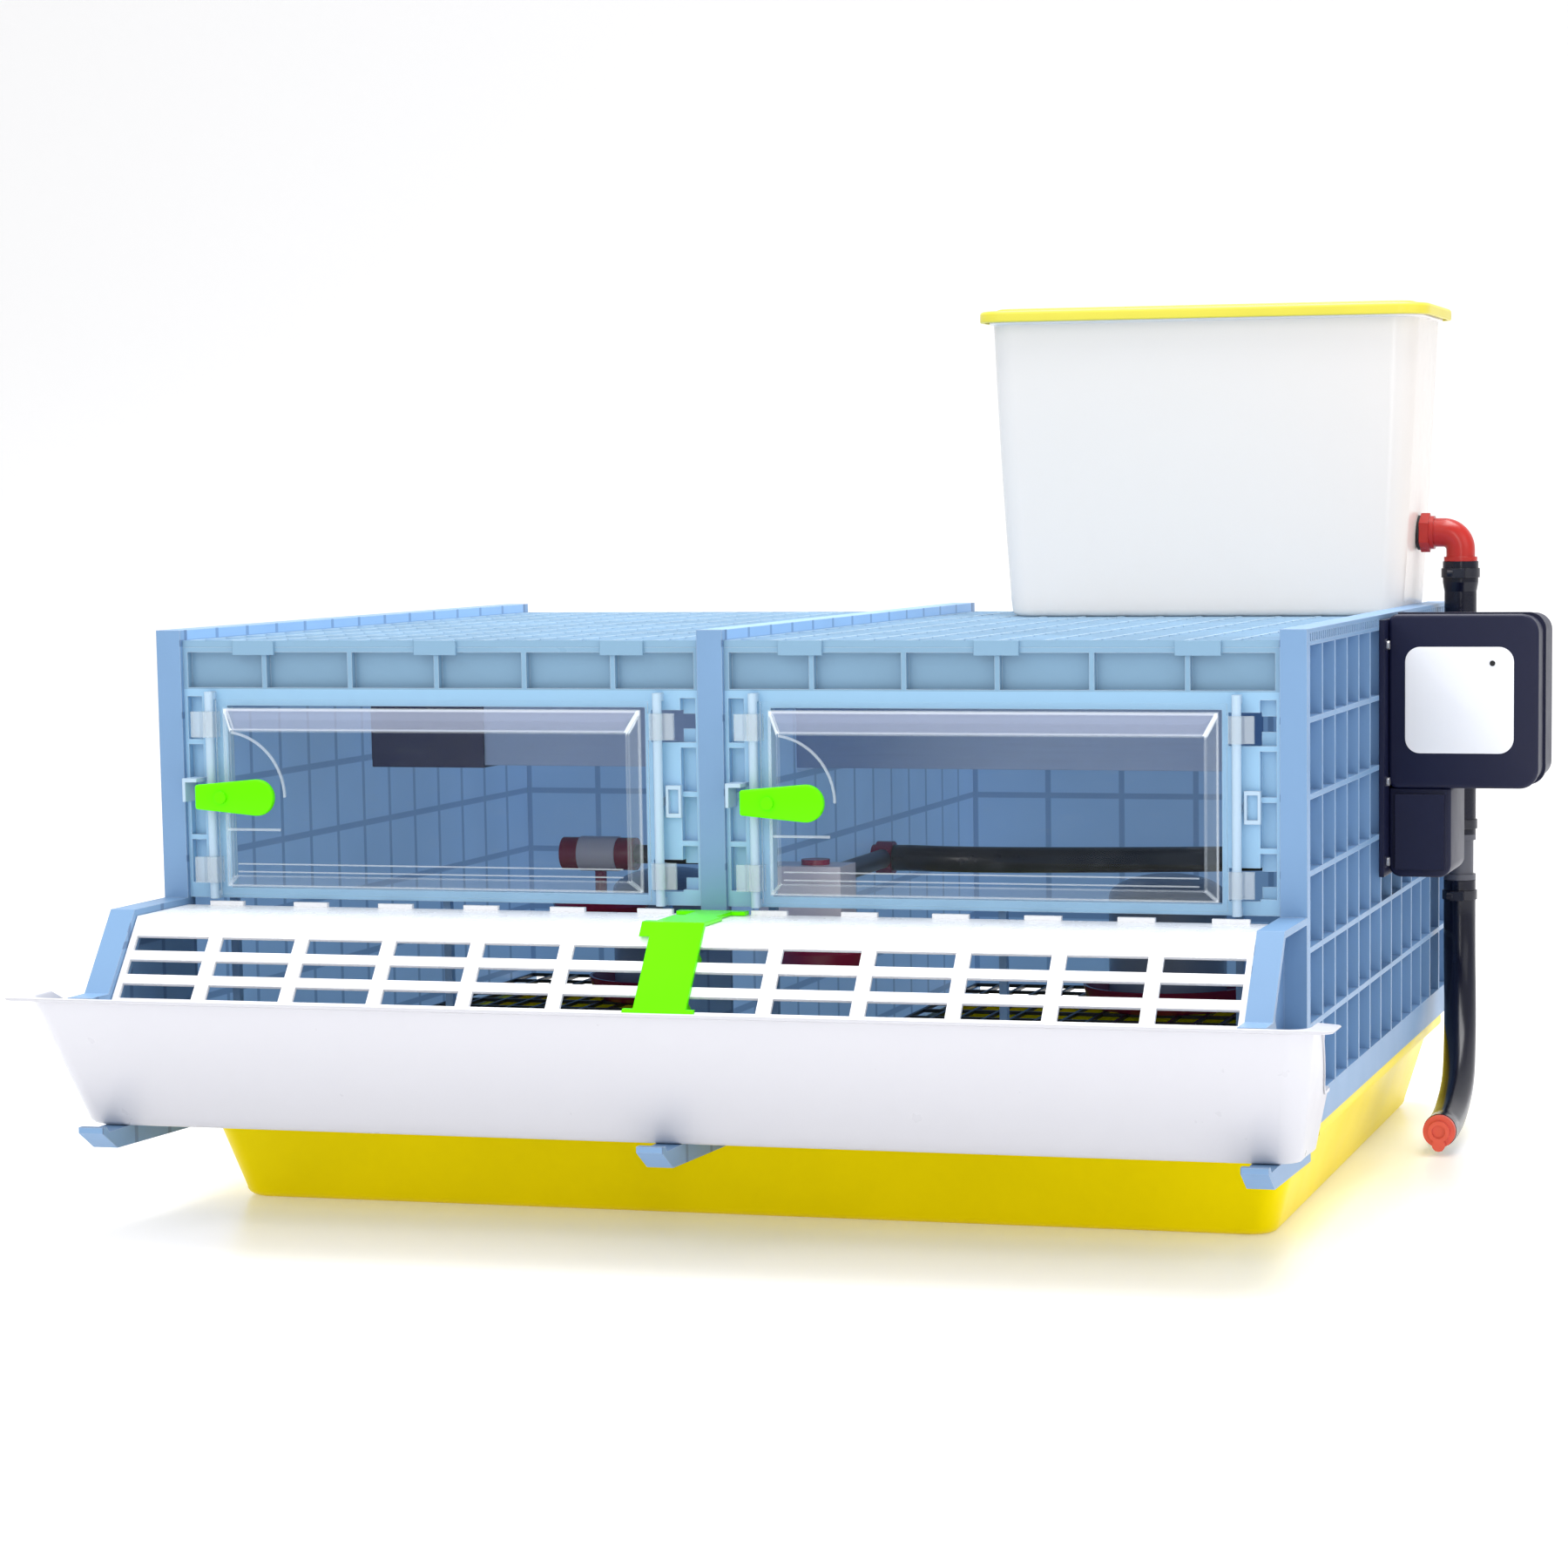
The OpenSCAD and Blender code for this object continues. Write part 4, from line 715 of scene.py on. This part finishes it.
class BROODER_OT_camera(bpy.types.Operator):
    """Camera at the photograph's place"""

    bl_idname = "brooder.camera"
    bl_label = "Camera"

    def execute(self, context):
        data = bpy.data.cameras.new("camera")
        data.sensor_width = 36.0
        data.lens = context.scene.brooder_stage.lens
        data.shift_x, data.shift_y = -0.1459, 0.0842
        data.clip_start, data.clip_end = 0.05, 100.0
        camera = bpy.data.objects.new("camera", data)
        camera.location = (0.9365, -3.0664, 0.5437)
        camera.rotation_mode = "XYZ"
        camera.rotation_euler = (math.pi / 2 - 0.1079, 0.0097, 0.2539)
        context.scene.collection.objects.link(camera)
        context.scene.camera = camera
        return {"FINISHED"}


class BROODER_OT_hoses(bpy.types.Operator):
    """Drain hose that hangs free, and the hose inside the right bay"""

    bl_idname = "brooder.hoses"
    bl_label = "Hoses"

    def execute(self, context):
        size, tone = context.scene.brooder_hoses, context.scene.brooder_colours
        skin = hose_finish("hose_rubber", tone.hose)
        dress(skin, "upper_hose")
        path = smooth_path(DRAIN_ROUTE, 8)
        hose = swept_tube(
            "drain_hose_soft", path, size.outer / 2, skin.material, "cage", 40
        )
        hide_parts("drain_hose")
        line = smooth_path(INNER_ROUTE, 8)
        inner = swept_tube(
            "inner_hose_soft", line, size.inner / 2, skin.material, "cage", 32
        )
        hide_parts("inner_hose")
        return {"FINISHED"}


def tray_rings():
    """Rings of the tray: a rounded bottom edge, walls that lean out, a skirt that stands out round
    the top, a level flange, and the same walls drawn in by their thickness. In front of Y = -0.300
    the flange is cut off at X = 0.4402 on both sides, where the trough's carriers pass it."""
    rings = []
    notch_y, notch_x, notch_foot = -0.300, 0.4402, 0.0742
    notch_ends = np.array([[0.9898], [0.9911]])
    lean, height = 0.025, 0.085
    second, third = 2 * CORNER - 1, 2 * CORNER

    def ring(half_x, half_y, radius, z):
        flat = round_ring(0, 0.007, half_x, half_y, radius, z, CORNER)
        left = flat[second] + (flat[third] - flat[second]) * notch_ends
        right = left[::-1] * [-1, 1, 1]
        flat = np.vstack([flat[:third], left, flat[third:], right])
        if z > notch_foot:
            front = flat[:, 1] < notch_y
            flat[front, 0] = np.clip(flat[front, 0], -notch_x, notch_x)
        rings.append(flat)

    ring(0.35, 0.25, 0.02, 0)
    for a in np.linspace(0, math.pi / 2, 6):
        c = 0.008 * (1 - math.sin(a))
        ring(0.4173 - c, 0.3203 - c, 0.018, 0.008 * (1 - math.cos(a)))
    for t in (0.2, 0.4, 0.6, 0.8, 0.868):
        ring(0.415 + lean * t, 0.318 + lean * t, 0.018 + 0.004 * t, height * t)
    ring(0.4450, 0.3480, 0.036, 0.0745)
    ring(0.4474, 0.3504, 0.038, 0.0748)
    ring(0.4480, 0.3510, 0.038, 0.0758)
    for a in np.linspace(0, math.pi / 2, 5):
        c = 0.002 * (1 - math.cos(a))
        ring(0.448 - c, 0.351 - c, 0.038, 0.083 + 0.002 * math.sin(a))
    ring(0.4268, 0.3298, 0.0245, 0.085)
    ring(0.4260, 0.3290, 0.024, 0.0842)
    ring(0.4260, 0.3290, 0.024, 0.0826)
    ring(0.4268, 0.3298, 0.0245, 0.082)
    ring(0.4350, 0.3380, 0.031, 0.082)
    for t in (0.9, 0.6, 0.3, 0.12):
        ring(0.412 + lean * t, 0.315 + lean * t, 0.028 + 0.004 * t, 0.003 + 0.082 * t)
    ring(0.4080, 0.3110, 0.026, 0.0035)
    ring(0.35, 0.25, 0.02, 0.003)
    return rings


class BROODER_OT_cage(bpy.types.Operator):
    """Finishes of the panels, frames, decks, floors and tray"""

    bl_idname = "brooder.cage"
    bl_label = "Cage finishes"

    def execute(self, context):
        tone = context.scene.brooder_colours
        sides = panel_finish("panel_blue", tone.panel)
        dress(sides, "left_side_panel", "middle_partition", "right_side_panel")
        dress(rear_finish("rear_blue", tone.panel), "left_rear_panel", "right_rear_panel")
        dress(moulded("post_blue", tone.panel, 0.4), "left_feed_posts", "right_feed_posts")
        dress(deck_finish("deck_blue", tone.deck, tone.front), "left_top_deck", "right_top_deck")
        dress(front_finish("front_blue", tone.front), "left_front_panel", "right_front_panel")
        dress(moulded("mesh_black", tone.mesh, 0.4), "left_floor_mesh", "right_floor_mesh")
        warm = (1.0, 0.80, 0.05, 1.0)
        yellow = moulded(
            "tray_yellow", tone.tray, 0.36, mottle=0.03, specular_ior_level=0.25, specular_tint=warm
        )
        tray = shell_piece("manure_tray_fine", tray_rings(), yellow.material, "tray")
        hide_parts("manure_tray")
        return {"FINISHED"}


def lever_outline(pivot, level):
    """Outline of a latch lever in X and Z, anticlockwise: a large half circle at the head, a nearly
    square narrow tip, and straight flanks between."""
    head = np.linspace(math.radians(-94), math.radians(94), 22)
    large = np.column_stack([pivot + 0.029 + 0.014 * np.cos(head), level + 0.014 * np.sin(head)])
    up = np.linspace(math.radians(94), math.radians(180), 7)
    low = np.linspace(math.radians(180), math.radians(266), 7)
    r, half = 0.002, 0.0095
    tip = pivot - 0.0220 + r
    upper = np.column_stack([tip + r * np.cos(up), level + half - r + r * np.sin(up)])
    lower = np.column_stack([tip + r * np.cos(low), level - half + r + r * np.sin(low)])
    return np.vstack([large, upper, lower])


class BROODER_OT_doors(bpy.types.Operator):
    """Clear doors and their green levers"""

    bl_idname = "brooder.doors"
    bl_label = "Doors and levers"

    def execute(self, context):
        tone = context.scene.brooder_colours
        dress(door_finish("door_clear", tone.door, 0.004), "left_door", "right_door")
        lime = moulded(
            "lime_gloss", tone.lime, 0.22, mottle=0.03, edges=0.0012, specular_ior_level=0.25,
            specular_tint=(0.6, 1.0, 0.2, 1.0),
        )
        dress(lime, "left_lever_pin", "right_lever_pin", "grille_clip")
        for side, pivot in LEVER_PIVOTS:
            lever = slab_piece(
                f"{side}_latch_lever_fine", lever_outline(pivot, LEVER_LEVEL), -0.3735, -0.380, 0.0016,
                lime.material, f"{side}_lever_body",
            )
            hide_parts(f"{side}_latch_lever")
        return {"FINISHED"}


def plan_ring(y, half_x, half_y, radius):
    """Points of a rectangle with round corners, seen from above, with its straight sides divided."""
    corners = round_ring(0, y, half_x, half_y, radius, 0, CORNER)[:, :2].reshape(4, CORNER, 2)
    share = np.linspace(0, 1, CORNER)[1:-1, None]
    parts = []
    for corner, onward in zip(corners, np.roll(corners, -1, 0)[:, 0]):
        parts += [corner, corner[-1] + (onward - corner[-1]) * share]
    return np.vstack(parts)


def trough_rings():
    """Rings of the trough. A wall point lies between a small low ring and a wide top ring, at the
    share of the height that its side reaches: all of it in front, less than half at the back, and in
    a straight slant along the ends. The lip is the top ring moved out where the wall is at its full
    height, and the inside is the same two rings drawn in by the wall."""
    z0, height, wall = 0.0823, 0.103, 0.003
    low = plan_ring(-0.433, 0.464, 0.040, 0.016)
    top = plan_ring(-0.449, 0.482, 0.079, 0.018)
    lip = plan_ring(-0.449, 0.498, 0.083, 0.008)
    low_in = plan_ring(-0.433, 0.461, 0.037, 0.013)
    top_in = plan_ring(-0.449, 0.479, 0.076, 0.015)
    reach = 1 - 0.573 * np.clip((top[:, 1] + 0.484) / 0.069, 0, 1)
    rings = []

    def ring(flat, z):
        rings.append(np.column_stack([flat, np.broadcast_to(z, len(flat))]))

    def leaning(a, b, t, drop=0.0, out=0.0):
        flat = a + (b - a) * (t * reach)[:, None] + out
        ring(flat, z0 + t * reach * height - drop)

    inset = low * [0.992, 0.9] + [0, -0.0433]
    ring(low * [0.9, 0.3] + [0, -0.3031], z0)
    ring(inset, z0)
    ring(low + (inset - low) * 0.35, z0 + 0.0008)
    for t in (0.03, 0.10, 0.3, 0.5, 0.7, 0.88, 0.968):
        leaning(low, top, t)
    grow = (lip - top) * np.clip((reach - 0.93) / 0.07, 0.06, 1)[:, None]
    leaning(low, top, 1.0, 0.0026, grow * 0.25)
    leaning(low, top, 1.0, 0.0022, grow * 0.93)
    leaning(low, top, 1.0, 0.0012, grow)
    leaning(low, top, 1.0, 0.0002, grow * 0.96)
    leaning(low, top, 1.0, 0.0, grow * 0.85)
    leaning(low_in, top_in, 1.0, 0.0, (top - top_in) * 0.3)
    leaning(low_in, top_in, 1.0, 0.0012)
    for t in (0.88, 0.7, 0.5, 0.3, 0.12):
        leaning(low_in, top_in, t)
    ring(low_in + (top_in - low_in) * 0.04, z0 + wall + 0.0035)
    ring(low_in, z0 + wall)
    ring(low_in * [0.9, 0.3] + [0, -0.3031], z0 + wall)
    return rings


class BROODER_OT_feeder(bpy.types.Operator):
    """White grille and trough"""

    bl_idname = "brooder.feeder"
    bl_label = "Feeder"

    def execute(self, context):
        tone = context.scene.brooder_colours
        white = milky_finish("trough_white", tone.trough, shade(tone.trough, 0.95), 0.08, 0.18, 0.28)
        grille = milky_finish("grille_white", tone.grille, shade(tone.grille, 0.97), 0.16, 0.24, 0.25)
        dress(grille, "feeder_grille")
        trough = shell_piece(
            "feed_trough_fine", trough_rings(), white.material, "trough_body"
        )
        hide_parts("feed_trough")
        return {"FINISHED"}


def tank_rings():
    """Rings of the tank: a rounded bottom edge, walls that lean out in a straight line and bow out by
    1 mm halfway up, a rim bead with rounded edges, and the same walls drawn in by their thickness."""
    z0, lean_x, lean_y = 0.4423, 0.014, 0.006
    rings = []

    def ring(half_x, half_y, radius, z):
        rings.append(round_ring(TANK_X, TANK_Y, half_x, half_y, radius, z, 10))

    ring(0.12, 0.03, 0.01, z0)
    for a in np.linspace(0, math.pi / 2, 5):
        c = 0.006 * (1 - math.sin(a))
        ring(0.1735 - c, 0.070 - c, 0.018, z0 + 0.006 * (1 - math.cos(a)))
    for t in np.linspace(0.06, 0.975, 9):
        bow = 0.001 * math.sin(math.pi * t)
        ring(0.1735 + lean_x * t + bow, 0.070 + lean_y * t + bow, 0.018 + 0.004 * t, z0 + 0.256 * t)
    bead = ((0, -8.5), (3, -8), (4, -7), (4, -1.2), (3.6, -0.3), (2.8, 0))
    for out, up in bead:
        out, up = out / 1000, up / 1000
        ring(0.1875 + out, 0.076 + out, 0.022 + out, z0 + 0.262 + up)
    ring(0.1853, 0.0738, 0.0198, z0 + 0.262)
    ring(0.1845, 0.073, 0.019, z0 + 0.261)
    for t in (0.9, 0.6, 0.3, 0.05):
        ring(0.1705 + lean_x * t, 0.067 + lean_y * t, 0.015 + 0.004 * t, z0 + 0.003 + 0.259 * t)
    ring(0.165, 0.062, 0.012, z0 + 0.003)
    ring(0.12, 0.03, 0.01, z0 + 0.003)
    return rings


def lid_rings():
    """Rings of the lid: the underside of its plate, the inside and the outside of its skirt, a top
    edge in a quarter circle, a shallow groove and a raised middle."""
    z = 0.7046
    rings = []

    def ring(inset, at):
        r = max(0.004, 0.026 - inset * 0.6)
        rings.append(round_ring(TANK_X, TANK_Y, 0.198 - inset, 0.0865 - inset, r, at, 10))

    skirt = ((60, 0), (4.5, 0), (3, -1.5), (3, -6.7), (2.2, -7), (0.8, -7), (0, -6.2))
    for inset, up in skirt:
        ring(inset / 1000, z + up / 1000)
    for a in np.linspace(0, math.pi / 2, 6):
        ring(0.003 * (1 - math.cos(a)), z + 0.003 * math.sin(a) - 0.0002)
    crown = ((8.5, 2.8), (10, 1.9), (12.5, 1.9), (14, 4.3), (16, 4.9), (60, 5))
    for inset, up in crown:
        ring(inset / 1000, z + up / 1000)
    return rings


class BROODER_OT_water(bpy.types.Operator):
    """Tank, lid, fittings, valves, cups and founts"""

    bl_idname = "brooder.water"
    bl_label = "Water system"

    def execute(self, context):
        tone = context.scene.brooder_colours
        # Painted light: the tank's paler, warmer foot colour works against the blue light from the deck
        milk = milky_finish("tank_milky", tone.tank, tone.tank_foot, 0.44, 0.62)
        tank = shell_piece("water_tank_fine", tank_rings(), milk.material, "cage")
        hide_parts("water_tank")
        yellow = moulded("lid_yellow", tone.lid, 0.38, mottle=0.03)
        lid = shell_piece("tank_lid_fine", lid_rings(), yellow.material, "lid_body")
        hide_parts("tank_lid")
        red = moulded("fitting_red", tone.red, 0.28, edges=0.0005)
        dress(red, "outlet_nut", "tank_elbow", "tee_collar")
        dress(moulded("plug_coral", tone.coral, 0.42, edges=0.0005), "drain_plug")
        maroon = moulded("drinker_maroon", tone.maroon, 0.25, edges=0.0006)
        dress(
            maroon, "hose_connector", "left_valve_caps", "right_valve_caps", "left_drinker_cup",
            "right_drinker_cup", "left_fount_tray", "right_fount_tray",
        )
        dress(smoke_finish("jar_smoke", tone.smoke), "left_fount_jar", "right_fount_jar")
        dress(moulded("barrel_pale", tone.barrel, 0.25), "left_valve_barrel", "right_valve_barrel")
        dress(moulded("pipe_grey", tone.grey, 0.4), "left_feed_pipe", "right_feed_pipe", "water_tee")
        dress(moulded("seal_black", (0.012, 0.012, 0.014), 0.6), "tank_seal", "wall_grommet")
        dress(moulded("clamp_black", tone.hose, 0.3), "hose_clamps")
        return {"FINISHED"}


class BROODER_OT_heater(bpy.types.Operator):
    """Heater casing, its end box and its hangers"""

    bl_idname = "brooder.heater"
    bl_label = "Heater"

    def execute(self, context):
        tone = context.scene.brooder_colours
        dress(metal_finish("heater_casing", tone.heater, 0.42, 0.2), "heater_casing")
        # Painted light: the end box takes the housings' navy made 2.5 times paler
        dress(moulded("heater_navy", shade(tone.navy, 2.5), 0.5), "heater_end_box")
        steel = metal_finish("strap_steel", (0.5, 0.5, 0.52), 0.35, 0.9)
        dress(steel, "heater_hangers", "control_screws")
        return {"FINISHED"}


class BROODER_OT_control(bpy.types.Operator):
    """Control box on the right side"""

    bl_idname = "brooder.control"
    bl_label = "Control box"

    def execute(self, context):
        tone = context.scene.brooder_colours
        skin = spark_finish("housing_navy", tone.navy, 0.42)
        dress(skin, "control_plate", "control_case", "terminal_lid")
        left, split = 0.454, 0.3113
        head = round_outline(left, 0.574, split, 0.4503, (0.015, 0.007, 0.007, 0.015))
        cover = slab_piece(
            "control_cover_fine", head, -0.007, -0.016, 0.0028, skin.material, "cage",
            steps=6,
        )
        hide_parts("control_cover")
        foot = round_outline(left, 0.504, 0.2393, split, (0.002, 0.002, 0.010, 0.010))
        box = slab_piece(
            "terminal_housing_fine", foot, 0.068, -0.012, 0.0018, skin.material, "cage"
        )
        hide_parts("terminal_housing")
        white = moulded("face_white", tone.face, 0.18, mottle=0.01, edges=0.0)
        plate = slab_piece(
            "control_face_fine", round_outline(0.4675, 0.5545, 0.3393, 0.4243, (0.012,) * 4),
            -0.0152, -0.0165, 0.0004, white.material, "cage",
        )
        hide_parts("control_face")
        dress(moulded("lamp_dark", (0.008, 0.008, 0.01), 0.1), "control_lamp")
        return {"FINISHED"}


class BROODER_OT_stage(bpy.types.Operator):
    """Plain floor, soft lights and a pale room"""

    bl_idname = "brooder.stage"
    bl_label = "Stage"

    def execute(self, context):
        scene, look = context.scene, context.scene.brooder_stage
        m = Finish("stage_floor", look.floor, roughness=0.3, specular_ior_level=0.8)
        m.put("Emission Color", (1, 1, 1, 1))
        m.put("Emission Strength", look.floor_glow)
        m.put("Base Color", m.tint(look.floor, m.noise(2, 2) * 0.2, shade(look.floor, 0.98)))
        mesh = bpy.data.meshes.new("stage_floor")
        front, bend, top, side = -9.0, 3.0, 9.0, 12.0
        turn = np.linspace(0, math.pi / 2, 24)
        curve = [(bend + bend * math.sin(a), bend - bend * math.cos(a)) for a in turn]
        line = [(front, 0.0), *curve, (2 * bend, top)]
        points = [(x, y, z) for x in (-side, side) for y, z in line]
        n = len(line)
        faces = [(i, n + i, n + i + 1, i + 1) for i in range(n - 1)]
        mesh.from_pydata(points, [], faces)
        mesh.polygons.foreach_set("use_smooth", [True] * len(faces))
        floor = bpy.data.objects.new("stage_floor", mesh)
        mesh.materials.append(m.material)
        scene.collection.objects.link(floor)
        lights = (
            ("key_light", (-1.6, -3.2, 3.0), (0.0, 0.0, 0.3), (2.6, 2.6), look.key),
            ("fill_light", (3.2, -1.6, 1.8), (0.2, 0.0, 0.3), (2.2, 2.2), look.fill),
            ("top_light", (0.2, 0.3, 3.2), (0.0, 0.0, 0.4), (2.4, 2.4), look.top),
            ("strip_light", (1.15, -3.4, 1.3), (0.3, 0.0, 0.4), (0.14, 2.0), look.strip),
        )
        for name, place, aim, size, power in lights:
            data = bpy.data.lights.new(name, "AREA")
            data.shape, data.energy = "RECTANGLE", power
            data.size, data.size_y = size
            light = bpy.data.objects.new(name, data)
            light.location = place
            way = np.array(aim) - np.array(place)
            way = way / np.linalg.norm(way)
            flat = math.hypot(way[0], way[1])
            rise = math.atan2(way[2], flat)
            light.rotation_euler = (math.pi / 2 + rise, 0, math.atan2(-way[0], way[1]))
            scene.collection.objects.link(light)
        world = bpy.data.worlds.new("pale_room")
        world.use_nodes = True
        sky = world.node_tree.nodes["Background"]
        sky.inputs["Color"].default_value = (1.0, 1.0, 1.0, 1)
        sky.inputs["Strength"].default_value = look.room
        scene.world = world
        scene.view_settings.view_transform = "Standard"
        return {"FINISHED"}


PIECES = (
    BROODER_OT_camera, BROODER_OT_hoses, BROODER_OT_cage, BROODER_OT_doors, BROODER_OT_feeder,
    BROODER_OT_water, BROODER_OT_heater, BROODER_OT_control, BROODER_OT_stage,
)
SETTINGS = {
    "brooder_cage": CageSettings, "brooder_colours": ColourSettings, "brooder_hoses": HoseSettings,
    "brooder_stage": StageSettings,
}


class BROODER_PT_pieces(bpy.types.Panel):
    """Settings and pieces of the brooder box"""

    bl_label = "Chick brooder box"
    bl_idname = "BROODER_PT_pieces"
    bl_space_type = "VIEW_3D"
    bl_region_type = "UI"
    bl_category = "Brooder"

    def draw(self, context):
        for name, group in SETTINGS.items():
            box = self.layout.box()
            for key in group.__annotations__:
                box.prop(getattr(context.scene, name), key)
        for piece in PIECES:
            self.layout.operator(piece.bl_idname)


def register():
    for group in SETTINGS.values():
        bpy.utils.register_class(group)
    for name, group in SETTINGS.items():
        setattr(bpy.types.Scene, name, bpy.props.PointerProperty(type=group))
    for item in (*PIECES, BROODER_PT_pieces):
        bpy.utils.register_class(item)


def unregister():
    for item in reversed((*PIECES, BROODER_PT_pieces)):
        bpy.utils.unregister_class(item)
    for name in SETTINGS:
        delattr(bpy.types.Scene, name)
    for group in reversed(list(SETTINGS.values())):
        bpy.utils.unregister_class(group)


def main():
    register()
    for piece in PIECES:
        group, name = piece.bl_idname.split(".")
        getattr(getattr(bpy.ops, group), name)()
    bpy.context.view_layer.update()


if __name__ == "__main__":
    main()
